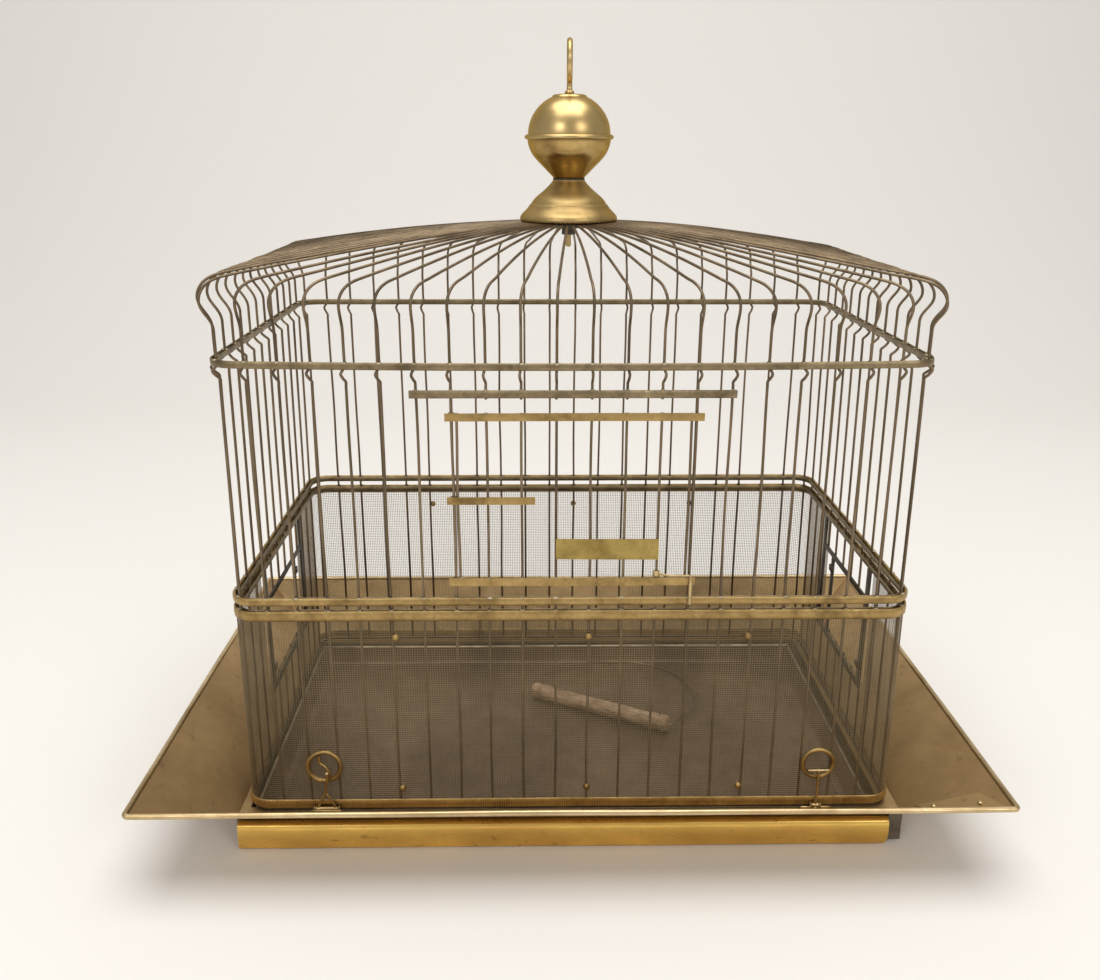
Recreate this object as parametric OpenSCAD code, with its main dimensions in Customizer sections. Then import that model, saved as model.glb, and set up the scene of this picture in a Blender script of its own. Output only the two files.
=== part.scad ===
// Rectangular brass bird cage with a domed wire roof, standing in a flared brass
// base with a slide-out tray. Millimetres, +Z up, origin at the centre of the
// base's underside, front of the cage towards -Y.

/* [Cage body] */
// Half width of the wire walls at the bottom, wire centres
wall_w0 = 197.6; // [197:0.1:198]
// Half width of the wire walls just under the upper band, wire centres
wall_w1 = 195.0; // [194.6:0.1:195.4]
// Half depth of the wire walls, wire centres
wall_d = 116.9; // [116.5:0.1:117]
// Radius of the wall's corners at the wire centres
corner_r = 12.6; // [12:0.1:13]
// Radius of a cage wire
wire_r = 0.8; // [0.7:0.05:0.8]
// Height of the upper band's middle above the cage's bottom
upper_z = 277.8; // [276:0.2:282]
// Bottom of the lower band above the cage's bottom
lower_z = 136.8; // [136:0.2:138]

/* [Roof] */
// How far the shoulder of a front or back wire stands out past the band
bulge_fb = 7.0; // [5:0.5:8]
// How far the shoulder of a side wire stands out past the band
bulge_lr = 6.0; // [4:0.5:8]
// Height of the shoulder's widest point above the upper band
bulge_z = 34.5; // [32:0.5:36]
// Radius of the turn from the shoulder into the roof
turn_r = 9.0; // [7:0.5:10]
// Height of the hub, where the wires meet, above the cage's bottom
hub_z = 344.6; // [342:0.2:348]
// Radius of the circle on which the wires meet the hub
hub_r = 24; // [22:0.5:25]
// Crown of the roof between shoulder and hub, share of its rise
crown = 0.26; // [0:0.02:0.5]

/* [Base] */
// Height of the base under the cage
base_h = 23; // [23:0.5:26]
// Half width of the flared skirt at its rim
rim_w = 252.5; // [248:0.5:258]
// Half depth of the flared skirt at its rim
rim_d = 168.5; // [165:0.5:172]
// Height of the rim above the cage's bottom
rim_z = 31.4; // [28:0.2:36]
// Radius of the rolled rim
rim_r = 1.7; // [1.4:0.1:2]

/* [Drawer] */
// Width of the brass drawer front
front_w = 399.5; // [396:0.5:400]
// How far the drawer stands to the left of the middle
drawer_x = -3.75; // [-4:0.25:-3.5]

/* [Door] */
// Opening angle shown, 0 is shut
door_gap = 0.05; // [0.03:0.01:0.09]

/* [Hidden] */

C_BRASS = [0.62, 0.50, 0.27];
C_BRIGHT = [0.72, 0.60, 0.33];
C_AGED = [0.50, 0.42, 0.25];
C_WIRE = [0.36, 0.30, 0.19];
C_MESH = [0.38, 0.34, 0.27];
C_ZINC = [0.42, 0.39, 0.34];
C_WOOD = [0.45, 0.33, 0.21];

zc = base_h;                       // height of the cage's bottom
d_out = wall_d + wire_r;           // outer face of the front wires
kink_z = upper_z - 12.5;           // where the wires start to kink
band_off = 1.2;                    // the wires stand this far out at the upper band
eps = 0.1;                         // joint between the pieces of a band

// Half width of the side walls at height z above the cage's bottom
function side_w(z) = wall_w0 + (wall_w1 - wall_w0) * z / kink_z;

// Position of the k-th wire left or right of the middle, k from 1 to 10
function wire_x(k) = let(s = (2 * abs(k) - 1) / 19)
  sign(k) * 176.7 * (1.035 * s - 0.035 * s * s * s);

// Every wire of the wall, going round from the front left: x, y, outward normal
h2 = sqrt(0.5);
cx = side_w(140) - corner_r * (1 - h2);
cy = wall_d - corner_r * (1 - h2);
front_list = [for (k = [-10:10]) if (k != 0) [wire_x(k), -wall_d, 0, -1]];
right_list = [for (j = [0:11]) [1, -102.3 + 18.6 * j, 1, 0]];
WALL = concat(front_list, [[1, -cy, h2, -h2]], right_list, [[1, cy, h2, h2]],
  [for (w = front_list) [-w[0], wall_d, 0, 1]], [[-1, cy, -h2, h2]],
  [for (w = right_list) [-1, -w[1], -1, 0]], [[-1, -cy, -h2, -h2]]);
N_WIRES = len(WALL);

// Wire i at height z on the wall: side and corner wires lean in a little
function wx(i, z) = WALL[i][2] == 0 ? WALL[i][0]
  : sign(WALL[i][2]) * (side_w(z) - (abs(WALL[i][2]) < 1 ? corner_r * (1 - h2) : 0));
function wall_pt(i, z) = [wx(i, z), WALL[i][1], z + zc];
// Direction in which wire i enters the hub
function hub_a(i) = -90 + 360 / N_WIRES * (i - 9.5);
function unit(v) = v / norm(v);
function bulge(i) = abs(WALL[i][2]) == 1 ? bulge_lr
  : (WALL[i][2] == 0 ? bulge_fb : (bulge_fb + bulge_lr) / 2);

// Centre line of wire i from just under the upper band to the hub
function roof_pts(i, z0) = let(
    b = wall_pt(i, kink_z),
    rad = unit([b[0], b[1], 0]),
    n = [WALL[i][2], WALL[i][3], 0],
    p = b + n * band_off,
    top = p + n * bulge(i),
    hub = [hub_r * cos(hub_a(i)), hub_r * sin(hub_a(i)), 0],
    u = unit([hub[0] - top[0], hub[1] - top[1], 0]),
    zs = bulge_z + turn_r * sin(80),
    s = top + u * turn_r * (1 - cos(80)),
    at = function(q, z) [q[0], q[1], zc + z])
  concat(
    [at(wall_pt(i, z0), z0)],
    z0 < kink_z - 1 ? [at(b, kink_z)] : [],
    [at(b + rad * 3.0, upper_z - 5.8), at(p, upper_z - 2.1), at(p, upper_z + 18),
     at(p + n * bulge(i) * 0.55, upper_z + 25.5),
     at(top, upper_z + bulge_z),
     at(top + u * turn_r * (1 - cos(42)), upper_z + bulge_z + turn_r * sin(42)),
     at(s, upper_z + zs)],
    [for (t = [0.3, 0.62, 1]) let(
        rise = hub_z - upper_z - zs)
      at([s[0] + (hub[0] - s[0]) * t, s[1] + (hub[1] - s[1]) * t],
        upper_z + zs + rise * (t + crown * t * (1 - t) * 1.3))]);

// Tube of n sides along points; w is a direction that no stretch runs along
module tube(pts, r, w, n = 5) {
  m = len(pts);
  tan = [for (i = [0:m - 1]) unit(
      (i < m - 1 ? unit(pts[i + 1] - pts[i]) : [0, 0, 0]) +
      (i > 0 ? unit(pts[i] - pts[i - 1]) : [0, 0, 0]))];
  rings = [for (i = [0:m - 1]) let(
      a = unit(cross(tan[i], w)), b = cross(tan[i], a))
    for (j = [0:n - 1]) pts[i] + r * (cos(360 * j / n) * a + sin(360 * j / n) * b)];
  faces = concat(
    [[for (j = [0:n - 1]) j]],
    [for (i = [0:m - 2]) for (j = [0:n - 1]) let(k = (j + 1) % n)
      for (f = [[i * n + j, (i + 1) * n + j, (i + 1) * n + k],
                [i * n + j, (i + 1) * n + k, i * n + k]]) f],
    [[for (j = [n - 1:-1:0]) (m - 1) * n + j]]);
  polyhedron(rings, faces, convexity = 6);
}

// Straight round rod between two points
module rod(p, q, r, fn = 24) {
  v = q - p;
  len = norm(v);
  translate(p) rotate([0, acos(v[2] / len), atan2(v[1], v[0])])
    cylinder(h = len, r = r, $fn = fn);
}

module box(a, b) { translate(a) cube(b - a); }

// Quarter of a flat ring, outer radius R, thickness t, in quadrant q, ends set back
module quarter(R, t, q) {
  rotate(90 * q) intersection() {
    difference() { circle(R, $fn = 48); circle(R - t, $fn = 48); }
    translate([eps / 2, eps / 2]) square(R + 1);
  }
}

// Strip bent round the cage: outer half width W, half depth D, corner radius R,
// thickness t. Four straight pieces and four corners, with fine seams between.
module band(W, D, R, t, z, h) {
  translate([0, 0, zc + z]) linear_extrude(h) {
    for (m = [0, 1]) mirror([0, m, 0]) {
      translate([-(W - R) + eps / 2, -D]) square([2 * (W - R) - eps, t]);
      translate([W - R, -(D - R)]) quarter(R, t, 3);
      translate([-(W - R), -(D - R)]) quarter(R, t, 2);
    }
    for (m = [0, 1]) mirror([m, 0, 0])
      translate([W - t, -(D - R) + eps / 2]) square([t, 2 * (D - R) - eps]);
  }
}

// ---- base ----
ledge_w = 204; ledge_d = 123.5; ledge_top = -1.65; ledge_t = 1.6;

module base_ledge() color(C_AGED) {
  z0 = zc + ledge_top - ledge_t; z1 = zc + ledge_top;
  for (m = [-1, 1]) {
    box([-ledge_w, m < 0 ? -ledge_d : 114, z0], [ledge_w, m < 0 ? -114 : ledge_d, z1]);
    box([m < 0 ? -ledge_w : 194.5, -114 + eps, z0], [m < 0 ? -194.5 - 4 : ledge_w, 114 - eps, z1]);
  }
}

// Channel that carries one side of the tray, s is -1 on the left
module runner(s, flange) {
  x1 = s * 205.6; x0 = s * 204.6;
  box([min(x0, x1), -121.5, 0], [max(x0, x1), 117.8, zc + ledge_top - ledge_t]);
  box([min(x0, x0 - s * flange), -121.5, 0], [max(x0, x0 - s * flange), 117.8, 1]);
}
module runner_left() color(C_ZINC) runner(-1, 12);
module runner_right() color(C_ZINC) {
  runner(1, 20);
  // front end of the right channel, turned in beside the drawer front
  box([197.2, -123.6, 1.2], [205.6, -121.5, zc + ledge_top - ledge_t]);
}
module base_back() color(C_ZINC)
  box([-205.6, 118.2, 0], [205.6, 119.2, zc + ledge_top - ledge_t]);

// One sloping panel between inner and outer edge, mitred at its ends
module panel(long, a) {
  // inner edge half length, inner offset, outer half length, outer offset
  il = long ? ledge_w : ledge_d; io = long ? ledge_d : ledge_w;
  ro = rim_r * 0.5;
  ol = (long ? rim_w : rim_d) - ro; oo = (long ? rim_d : rim_w) - ro;
  zi = zc + ledge_top; zo = zc + rim_z;
  t = 1.1;
  rotate(a) polyhedron([[-il, -io, zi], [il, -io, zi], [ol, -oo, zo], [-ol, -oo, zo],
    [-il, -io, zi - t], [il, -io, zi - t], [ol, -oo, zo - t], [-ol, -oo, zo - t]],
    [[3, 2, 1, 0], [4, 5, 6, 7], [0, 1, 5, 4], [1, 2, 6, 5], [2, 3, 7, 6], [3, 0, 4, 7]]);
}
module skirt_front() color(C_AGED) panel(true, 0);
module skirt_back() color(C_AGED) panel(true, 180);
module skirt_right() color(C_AGED) panel(false, 90);
module skirt_left() color(C_AGED) panel(false, 270);

// Rolled rim: an eight-sided bar on each side, mitred at the corners
module rim_bar(hl, off, a) {
  n = 8; r = rim_r; z = zc + rim_z;
  pts = [for (s = [-1, 1]) for (j = [0:n - 1]) let(c = r * cos(360 * j / n), d = r * sin(360 * j / n))
    [s * (hl + c - eps / 2), -(off + c), z + d]];
  rotate(a) polyhedron(pts, concat(
    [[for (j = [0:n - 1]) j]], [[for (j = [n - 1:-1:0]) n + j]],
    [for (j = [0:n - 1]) let(k = (j + 1) % n) [j, n + j, n + k, k]]));
}
module skirt_rim() color(C_BRASS) {
  rim_bar(rim_w, rim_d, 0); rim_bar(rim_w, rim_d, 180);
  rim_bar(rim_d, rim_w, 90); rim_bar(rim_d, rim_w, 270);
}

// The lap of the front panel that is riveted on the right panel, near the corner
lap_a = atan2(rim_z - ledge_top, rim_w - rim_r * 0.5 - ledge_w);
module on_right(x, y, dz) {
  translate([ledge_w, 0, zc + ledge_top]) rotate([0, -lap_a, 0]) translate([x, y, dz]) children();
}
module lap_tab() color(C_AGED) on_right(0, 0, 0.06)
  linear_extrude(0.7) polygon([[14, -133.6], [10, -126.0], [46, -143.5], [54, -163.8]]);
module tab_rivets() color(C_BRIGHT) for (q = [[19.5, -134.6], [43.5, -151.2]])
  on_right(q[0], q[1], 0.8) rotate_extrude($fn = 24)
    polygon([[0, 0], [1.9, 0], [1.5, 0.5], [0.8, 0.8], [0, 0.9]]);

// Where the two toggle clips stand
clip_x = [-149.6, 151.2];
piv_y = -121.75; piv_z = 2.4; pin_r = 0.6;
module clip_brackets() color(C_BRASS) for (i = [0, 1]) translate([clip_x[i], 0, zc]) {
  g = i == 0 ? 7.4 : 2.8;
  difference() {
    union() {
      box([-9.2, -123.3, ledge_top], [9.2, -120.2, ledge_top + 0.7]);
      for (s = [-1, 1]) box([s * g - 0.45, -123.2, ledge_top], [s * g + 0.45, -120.3, piv_z + 1.5]);
    }
    translate([-12, piv_y, piv_z]) rotate([0, 90, 0]) cylinder(h = 24, r = pin_r, $fn = 24);
  }
}
module toggle_pins() color(C_WIRE) for (i = [0, 1]) translate([clip_x[i], 0, zc]) {
  g = (i == 0 ? 7.4 : 2.8) + 0.9;
  translate([-g, piv_y, piv_z]) rotate([0, 90, 0]) cylinder(h = 2 * g, r = pin_r, $fn = 24);
}

// ---- drawer ----
tr = 193.5; tf = 186.5; floor_z = -19.8; tray_rim = -6.2; t_y0 = -121.85; t_y1 = 112.6;
module tray_floor() color(C_ZINC) translate([drawer_x, 0, zc])
  box([-tf, t_y0, floor_z - 0.8], [tf, t_y1, floor_z]);
module tray_walls() color(C_ZINC) translate([drawer_x, 0, zc]) {
  t = 0.8;
  for (s = [-1, 1]) scale([s, 1, 1])
    polyhedron([[tf, t_y0, floor_z], [tr, t_y0, tray_rim], [tr, t_y1, tray_rim], [tf, t_y1, floor_z],
      [tf - t, t_y0, floor_z], [tr - t, t_y0, tray_rim], [tr - t, t_y1, tray_rim], [tf - t, t_y1, floor_z]],
      s > 0 ? [[0, 1, 2, 3], [7, 6, 5, 4], [1, 0, 4, 5], [2, 1, 5, 6], [3, 2, 6, 7], [0, 3, 7, 4]]
            : [[0, 1, 2, 3], [7, 6, 5, 4], [1, 0, 4, 5], [2, 1, 5, 6], [3, 2, 6, 7], [0, 3, 7, 4]]);
  for (y = [t_y0, t_y1 - t]) translate([0, y + t, 0]) rotate([90, 0, 0]) linear_extrude(t)
    polygon([[-tf + t + 0.05, floor_z], [tf - t - 0.05, floor_z], [tr - t - 0.05, tray_rim], [-tr + t + 0.05, tray_rim]]);
}
module drawer_front() color(C_BRIGHT) translate([drawer_x, 0, zc]) {
  hw = front_w / 2;
  translate([0, -121.9, 0]) rotate([90, 0, 0]) linear_extrude(7) difference() {
    union() {
      translate([-hw, -22.3]) square([2 * hw, 18.1]);
    }
    difference() {
      translate([hw - 3, -23]) square([4, 3.7]);
      translate([hw - 3, -19.3]) circle(3, $fn = 32);
    }
  }
}

// ---- swing left lying in the tray ----
perch_c = [26.5, 25.8]; perch_a = -27.9; perch_l = 112; perch_r = 6.2;
perch_z = floor_z + perch_r + 0.15;
module perch_frame() translate([perch_c[0], perch_c[1], zc + perch_z]) rotate(perch_a) children();
module perch() color(C_WOOD) perch_frame() rotate([0, 90, 0]) difference() {
  translate([0, 0, -perch_l / 2]) rotate_extrude($fn = 48) polygon([
    [0, 0], [4.6, 0], [5.8, 1.2], [6.2, 3.0], [6.2, 6.0], [5.2, 7.4], [5.2, 8.6], [6.1, 9.8],
    [6.1, 13.5], [5.3, 15.5], [5.5, 30], [5.6, 56], [5.5, 82], [5.3, 96.5], [6.1, 98.5],
    [6.1, 102.2], [5.2, 103.4], [5.2, 104.6], [6.2, 106], [6.2, 109], [5.8, 110.8], [4.6, 112], [0, 112]]);
  for (s = [-1, 1]) translate([0, 0, s * (perch_l / 2 - 4)]) cylinder(h = 12, r = 0.8, center = true, $fn = 24);
}
bail_r = 0.75;
bail_drop = asin((perch_z - floor_z - bail_r - 0.25) / 89);
module bail() color(C_WIRE) perch_frame() rotate([-bail_drop, 0, 0]) {
  tube([[-53, 0, 0], [-56.5, 0, 0], [-58.3, 0.8, 0], [-59.3, 2.6, 0], [-60.5, 12, 0], [-60.5, 26, 0], [-56, 43, 0],
    [-46, 60, 0], [-32, 74, 0], [-12, 85, 0], [10, 89, 0], [28, 84, 0], [42, 74, 0],
    [54, 61, 0], [61, 48, 0], [63.5, 38, 0], [62, 25, 0], [60, 12, 0],
    [59.3, 2.6, 0], [58.3, 0.8, 0], [56.5, 0, 0], [53, 0, 0]], bail_r, [0, 0, 1], 6);
}

// ---- cage body ----
low_h = 4.6; bind_z = 127.1; bind_h = 6.3;
o1 = 1.8;   // thickness of the folded lower strips
function hw_at(z) = side_w(z);
module bottom_wire() color(C_WIRE) band(wall_w0 + 0.9, wall_d + 0.9, corner_r + 0.9, 1.9, -1.3, 2.0);
module bottom_band() color(C_BRASS) band(wall_w0 + wire_r + o1, d_out + o1, corner_r + wire_r + o1, 1.3, 0.9, 6);
module lower_band() color(C_BRASS) band(hw_at(139) + wire_r + o1, d_out + o1, corner_r + wire_r + o1, o1, lower_z, low_h);
module mesh_binding() color(C_BRIGHT) band(wall_w0 + wire_r + o1, d_out + o1, corner_r + wire_r + o1, 1.3, bind_z, bind_h);
module lower_band_inner() color(C_AGED) band(hw_at(139) - wire_r, wall_d - wire_r, corner_r - wire_r, 0.7, lower_z + 0.5, 3.6);
module mesh_binding_inner() color(C_AGED) band(hw_at(130) - wire_r - 0.6, wall_d - wire_r - 0.6, corner_r - wire_r - 0.6, 0.7, bind_z + 2.6, 3.4);
module upper_band() color(C_BRASS) band(wall_w1 + band_off + wire_r + 0.9, wall_d + band_off + wire_r + 0.9,
  corner_r + wire_r + 2, 0.9, upper_z - 1.9, 3.8);
module upper_band_inner() color(C_AGED) band(wall_w1 + band_off - wire_r, wall_d + band_off - wire_r,
  corner_r + 1, 0.8, upper_z - 1.7, 3.4);
module header_strip() color(C_BRASS) box([-89.6, -d_out - 0.9, zc + 259], [88.4, -d_out, zc + 263.4]);

// Woven wire cloth, as thin plates outside the wires, under the strips
mesh_t = 0.4; mesh_top = 131.6; feed_y0 = -50; feed_y1 = 50; feed_z = 47;
mx = wall_w0 + wire_r + 0.05 + mesh_t; my = d_out + 0.05 + mesh_t; mr = corner_r + wire_r + 0.05 + mesh_t;
module mesh_front() color(C_MESH) box([-(mx - mr), -my, zc + 0.9], [mx - mr, -my + mesh_t, zc + mesh_top]);
module mesh_back() color(C_MESH) box([-(mx - mr), my - mesh_t, zc + 0.9], [mx - mr, my, zc + mesh_top]);
module mesh_side() {
  y1 = my - mr - eps;
  box([mx - mesh_t, -y1, zc + 0.9], [mx, feed_y0, zc + mesh_top]);
  box([mx - mesh_t, feed_y1, zc + 0.9], [mx, y1, zc + mesh_top]);
  box([mx - mesh_t, feed_y0 + eps, zc + 0.9], [mx, feed_y1 - eps, zc + feed_z]);
}
module mesh_right() color(C_MESH) mesh_side();
module mesh_left() color(C_MESH) mirror([1, 0, 0]) mesh_side();
module mesh_corners() color(C_MESH) translate([0, 0, zc + 0.9]) linear_extrude(mesh_top - 0.9)
  for (q = [0:3]) translate([(q == 0 || q == 3 ? 1 : -1) * (mx - mr), (q < 2 ? 1 : -1) * (my - mr)])
    rotate(q * 90) intersection() {
      difference() { circle(mr, $fn = 48); circle(mr - mesh_t, $fn = 48); }
      translate([0.05, 0.05]) square(mr);
    }

// Frames of the cup openings in the side walls, inside the wires
module feeder_side() {
  x1 = hw_at(130) - wire_r - 0.5; x0 = x1 - 0.9;
  box([x0, feed_y0 - 4, zc + feed_z - 3], [x1, feed_y0 + 3, zc + bind_z + 2.4]);
  box([x0, feed_y1 - 2, zc + feed_z - 3], [x1, feed_y1 + 4, zc + bind_z + 2.4]);
  box([x0, feed_y0 + 3 + eps, zc + feed_z - 3], [x1, feed_y1 - 2 - eps, zc + feed_z + 2]);
  box([x0, feed_y0 + 3 + eps, zc + 106], [x1, feed_y1 - 2 - eps, zc + 110]);
  box([x0, 24, zc + feed_z + 2 + eps], [x1, 30, zc + 106 - eps]);
}
module feeder_frames() color(C_WIRE) { feeder_side(); mirror([1, 0, 0]) feeder_side(); }

// A wire leaves the side wall at the rail over a cup opening and starts again below it
function over_cup(i) = abs(WALL[i][2]) == 1 && WALL[i][1] > feed_y0 + 4 && WALL[i][1] < feed_y1 - 3;
function at_door(i) = WALL[i][3] == -1 && abs(WALL[i][0]) < 60;

module wall_wire(i) {
  if (at_door(i)) rod(wall_pt(i, 0.8), wall_pt(i, lower_z + low_h), wire_r);
  else if (over_cup(i)) {
    rod(wall_pt(i, 106.2), wall_pt(i, kink_z), wire_r);
    rod(wall_pt(i, 0.8), wall_pt(i, feed_z + 1.8), wire_r);
  }
  else rod(wall_pt(i, 0.8), wall_pt(i, kink_z), wire_r);
}
// A roof wire in two pieces: the kink and the shoulder, then the run to the hub
module roof_wire(i) {
  a = hub_a(i);
  w = [-sin(a) * 0.6 - WALL[i][3] * 0.4, cos(a) * 0.6 + WALL[i][2] * 0.4, 0];
  pts = roof_pts(i, at_door(i) ? 259.2 : kink_z + 0.05);
  n = len(pts);
  run = unit(pts[n - 3] - pts[n - 4]);
  tube(concat([for (j = [0:n - 4]) pts[j]], [pts[n - 4] + run * 1.5]), wire_r, w);
  tube(concat([pts[n - 4] + run * (1.5 + eps)], [for (j = [n - 3:n - 1]) pts[j]]), wire_r, w);
}
module wall_wires_front() color(C_WIRE) for (i = [0:19]) wall_wire(i);
module wall_wires_right() color(C_WIRE) for (i = [21:32]) wall_wire(i);
module wall_wires_back() color(C_WIRE) for (i = [34:53]) wall_wire(i);
module wall_wires_left() color(C_WIRE) for (i = [55:66]) wall_wire(i);
module corner_wires() color(C_WIRE) for (i = [20, 33, 54, 67]) wall_wire(i);
module roof_wires_front() color(C_WIRE) for (i = [0:19]) roof_wire(i);
module roof_wires_right() color(C_WIRE) for (i = [21:32]) roof_wire(i);
module roof_wires_back() color(C_WIRE) for (i = [34:53]) roof_wire(i);
module roof_wires_left() color(C_WIRE) for (i = [55:66]) roof_wire(i);
module roof_wires_corner() color(C_WIRE) for (i = [20, 33, 54, 67]) roof_wire(i);

// ---- finial ----
ball_z = 393.6; rod_r = 1.6; bore = rod_r + 0.06;
module hub_disc() color(C_WIRE) translate([0, 0, zc]) rotate_extrude($fn = 64)
  polygon([[bore, 341.6], [23.2, 341.6], [23.2, 346.4], [26.5, 346.4], [26.5, 347.6], [bore, 347.6]]);
module bell() color(C_BRIGHT) translate([0, 0, zc]) rotate_extrude($fn = 96)
  polygon([[29.4, 345.4], [30.1, 346.2], [29.9, 347.6], [28.2, 349.6], [26.2, 351.6], [24.9, 353.2],
    [24.3, 354.2], [23.2, 355.0], [22.2, 356.6], [20.6, 358.4], [18.4, 360.4], [15.9, 362.4], [13.5, 364.6],
    [11.4, 366.8], [9.9, 368.6], [9.6, 369.4], [8.2, 369.4], [8.6, 368.0], [10.2, 366.0], [12.4, 363.8],
    [14.9, 361.6], [17.4, 359.6], [19.6, 357.6], [21.2, 355.8], [22.2, 354.2], [23.3, 353.4], [24.0, 352.6],
    [25.2, 351.0], [27.2, 349.0], [28.4, 347.2], [28.6, 346.0]]);
module ball_lower() color(C_BRIGHT) translate([0, 0, zc]) rotate_extrude($fn = 96)
  polygon([[bore + 0.4, 369.6], [9.0, 369.6], [9.6, 370.4], [12.6, 373.5], [16.0, 376.9], [19.7, 380.6],
    [22.7, 384.3], [24.5, 388.2], [25.3, 391.4], [25.4, 393.0], [24.6, 393.0], [24.5, 391.5], [23.7, 388.5],
    [21.9, 384.8], [19.0, 381.2], [15.4, 377.6], [12.0, 374.2], [9.2, 371.2], [bore + 0.4, 371.2]]);
module seam_bead() color(C_BRIGHT) translate([0, 0, zc]) rotate_extrude($fn = 96)
  polygon([[24.6, ball_z - 0.5], [26.2, ball_z - 0.5], [27.0, ball_z], [27.1, ball_z + 0.9], [26.6, ball_z + 1.7], [25.6, ball_z + 2.1], [24.6, ball_z + 2.1]]);
module ball_upper() color(C_BRIGHT) translate([0, 0, zc]) rotate_extrude($fn = 96)
  polygon(concat([for (a = [0:6.6:66]) [25.1 * cos(a), ball_z + 2.2 + 25.1 * sin(a) * 0.94]],
    [[8.6, 416.6], [7.6, 418.2], [4.4, 418.8], [bore, 418.8], [bore, 416.0]],
    [for (a = [66:-6.6:0]) [24.3 * cos(a), ball_z + 2.2 + 24.3 * sin(a) * 0.94]]));

// Ball-headed studs that hold the wire cloth to the wall wires
stud_x = [-102.9, 9.6, 102.9];
module studs() color(C_BRIGHT) for (x = stud_x) {
  for (z = [15.5, 117], m = [-1, 1]) translate([x, m * (d_out + 1.95), zc + z]) sphere(r = 1.9, $fn = 24);
}

// Rings on the front wall that the toggles catch
ring_z = 31; ring_R = 9.4; ring_r = 1.2;
module catch_rings() color(C_BRIGHT) for (x = clip_x)
  translate([x, -d_out - ring_r - 0.5, zc + ring_z]) rotate([90, 0, 0])
    rotate_extrude($fn = 48) translate([ring_R, 0]) circle(ring_r, $fn = 20);

// ---- front door ----
hx = wire_x(-4); strip_b = 118.2; strip_f = 119.0;
door_strip = [[246.3, 250.7, 71.2], [198.2, 202.6, -21.4], [149.1, 153.7, 70.2]];
dw_y = -117.38;
door_x = concat([hx + 2.9], [for (k = [-3:3]) if (k != 0) wire_x(k)], [-hx - 2.7]);
module door_strips() color(C_BRASS) for (s = door_strip) difference() {
  union() {
    box([hx - 3.6, -strip_f, zc + s[0]], [s[2], -strip_b, zc + s[1]]);
    translate([hx, -wall_d, zc + s[0]]) cylinder(h = s[1] - s[0], r = 1.75, $fn = 32);
  }
  translate([hx, -wall_d, zc + s[0] - 1]) cylinder(h = 8, r = wire_r + door_gap, $fn = 24);
}
module door_wires() color(C_WIRE) for (x = door_x)
  rod([x, dw_y, zc + 149.4], [x, dw_y, zc + 250.4], wire_r);
module door_plate() color(C_BRIGHT) box([-9.7, -strip_f, zc + 165.2], [48.7, -strip_b, zc + 177.5]);
// Latch: an eye on the door wire near the shut edge, an arm across the fixed wire
// and a pin that hangs in front of the lower band
lx = wire_x(3); lat_x = 67.4;
module door_latch() color(C_BRIGHT) difference() {
  union() {
    translate([lx, dw_y, zc + 154.3]) cylinder(h = 3.2, r = 2.0, $fn = 24);
    box([lx - 0.4, -119.9, zc + 154.6], [lat_x + 0.55, -118.8, zc + 155.9]);
    box([lat_x - 0.55, -121.2, zc + 154.6], [lat_x + 0.55, -119.2, zc + 155.9]);
    translate([lat_x, -120.7, zc + 138]) cylinder(h = 17.2, r = 0.65, $fn = 20);
  }
  translate([lx, dw_y, zc + 150]) cylinder(h = 12, r = wire_r + 0.06, $fn = 24);
}

// ---- hanger ----
loop_R = 11; loop_r = 1.7; loop_z = 436.8;
module hanger_ring() color(C_BRIGHT) translate([0, 0, zc]) union() {
  translate([0, 0, loop_z]) rotate([0, 0, 2]) rotate([0, 90, 0])
    rotate_extrude($fn = 64) translate([loop_R, 0]) circle(loop_r, $fn = 24);
  translate([0, 0, 329.4]) cylinder(h = loop_z - loop_R - 329.4 + 0.4, r = rod_r, $fn = 32);
  translate([0, 0, 419.2]) cylinder(h = 2.0, r = 3.0, $fn = 32);
}
module hanger_nut() color(C_WIRE) translate([0, 0, zc + 336.4]) difference() {
  cylinder(h = 4.6, r = 4.2, $fn = 6);
  translate([0, 0, -1]) cylinder(h = 8, r = rod_r, $fn = 32);
}

// ---- toggle clips on the base ----
module eye(x, w) translate([x - w / 2, piv_y, piv_z]) rotate([0, 90, 0]) cylinder(h = w, r = 1.3, $fn = 24);
module eye_bore() translate([-12, piv_y, piv_z]) rotate([0, 90, 0]) cylinder(h = 24, r = pin_r + 0.06, $fn = 24);
module toggle_left() color(C_BRIGHT) translate([clip_x[0], 0, zc]) difference() {
  union() {
    eye(0, 13);
    rod([-5.4, piv_y, piv_z], [-0.3, piv_y, 14.6], 0.7);
    rod([5.4, piv_y, piv_z], [0.3, piv_y, 14.6], 0.7);
    translate([0, piv_y, 13.2]) cylinder(h = 14, r = 0.75, $fn = 24);
    translate([0, piv_y - 0.5, 27.4]) sphere(r = 1.2, $fn = 24);
  }
  eye_bore();
}
module toggle_right() color(C_BRIGHT) translate([clip_x[1], 0, zc]) difference() {
  union() {
    eye(0, 3.8);
    rod([0, piv_y, piv_z + 0.5], [0, piv_y, 27.2], 0.75);
    rod([-6.2, piv_y, 27.2], [6.2, piv_y, 27.2], 0.75);
  }
  eye_bore();
}

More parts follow.
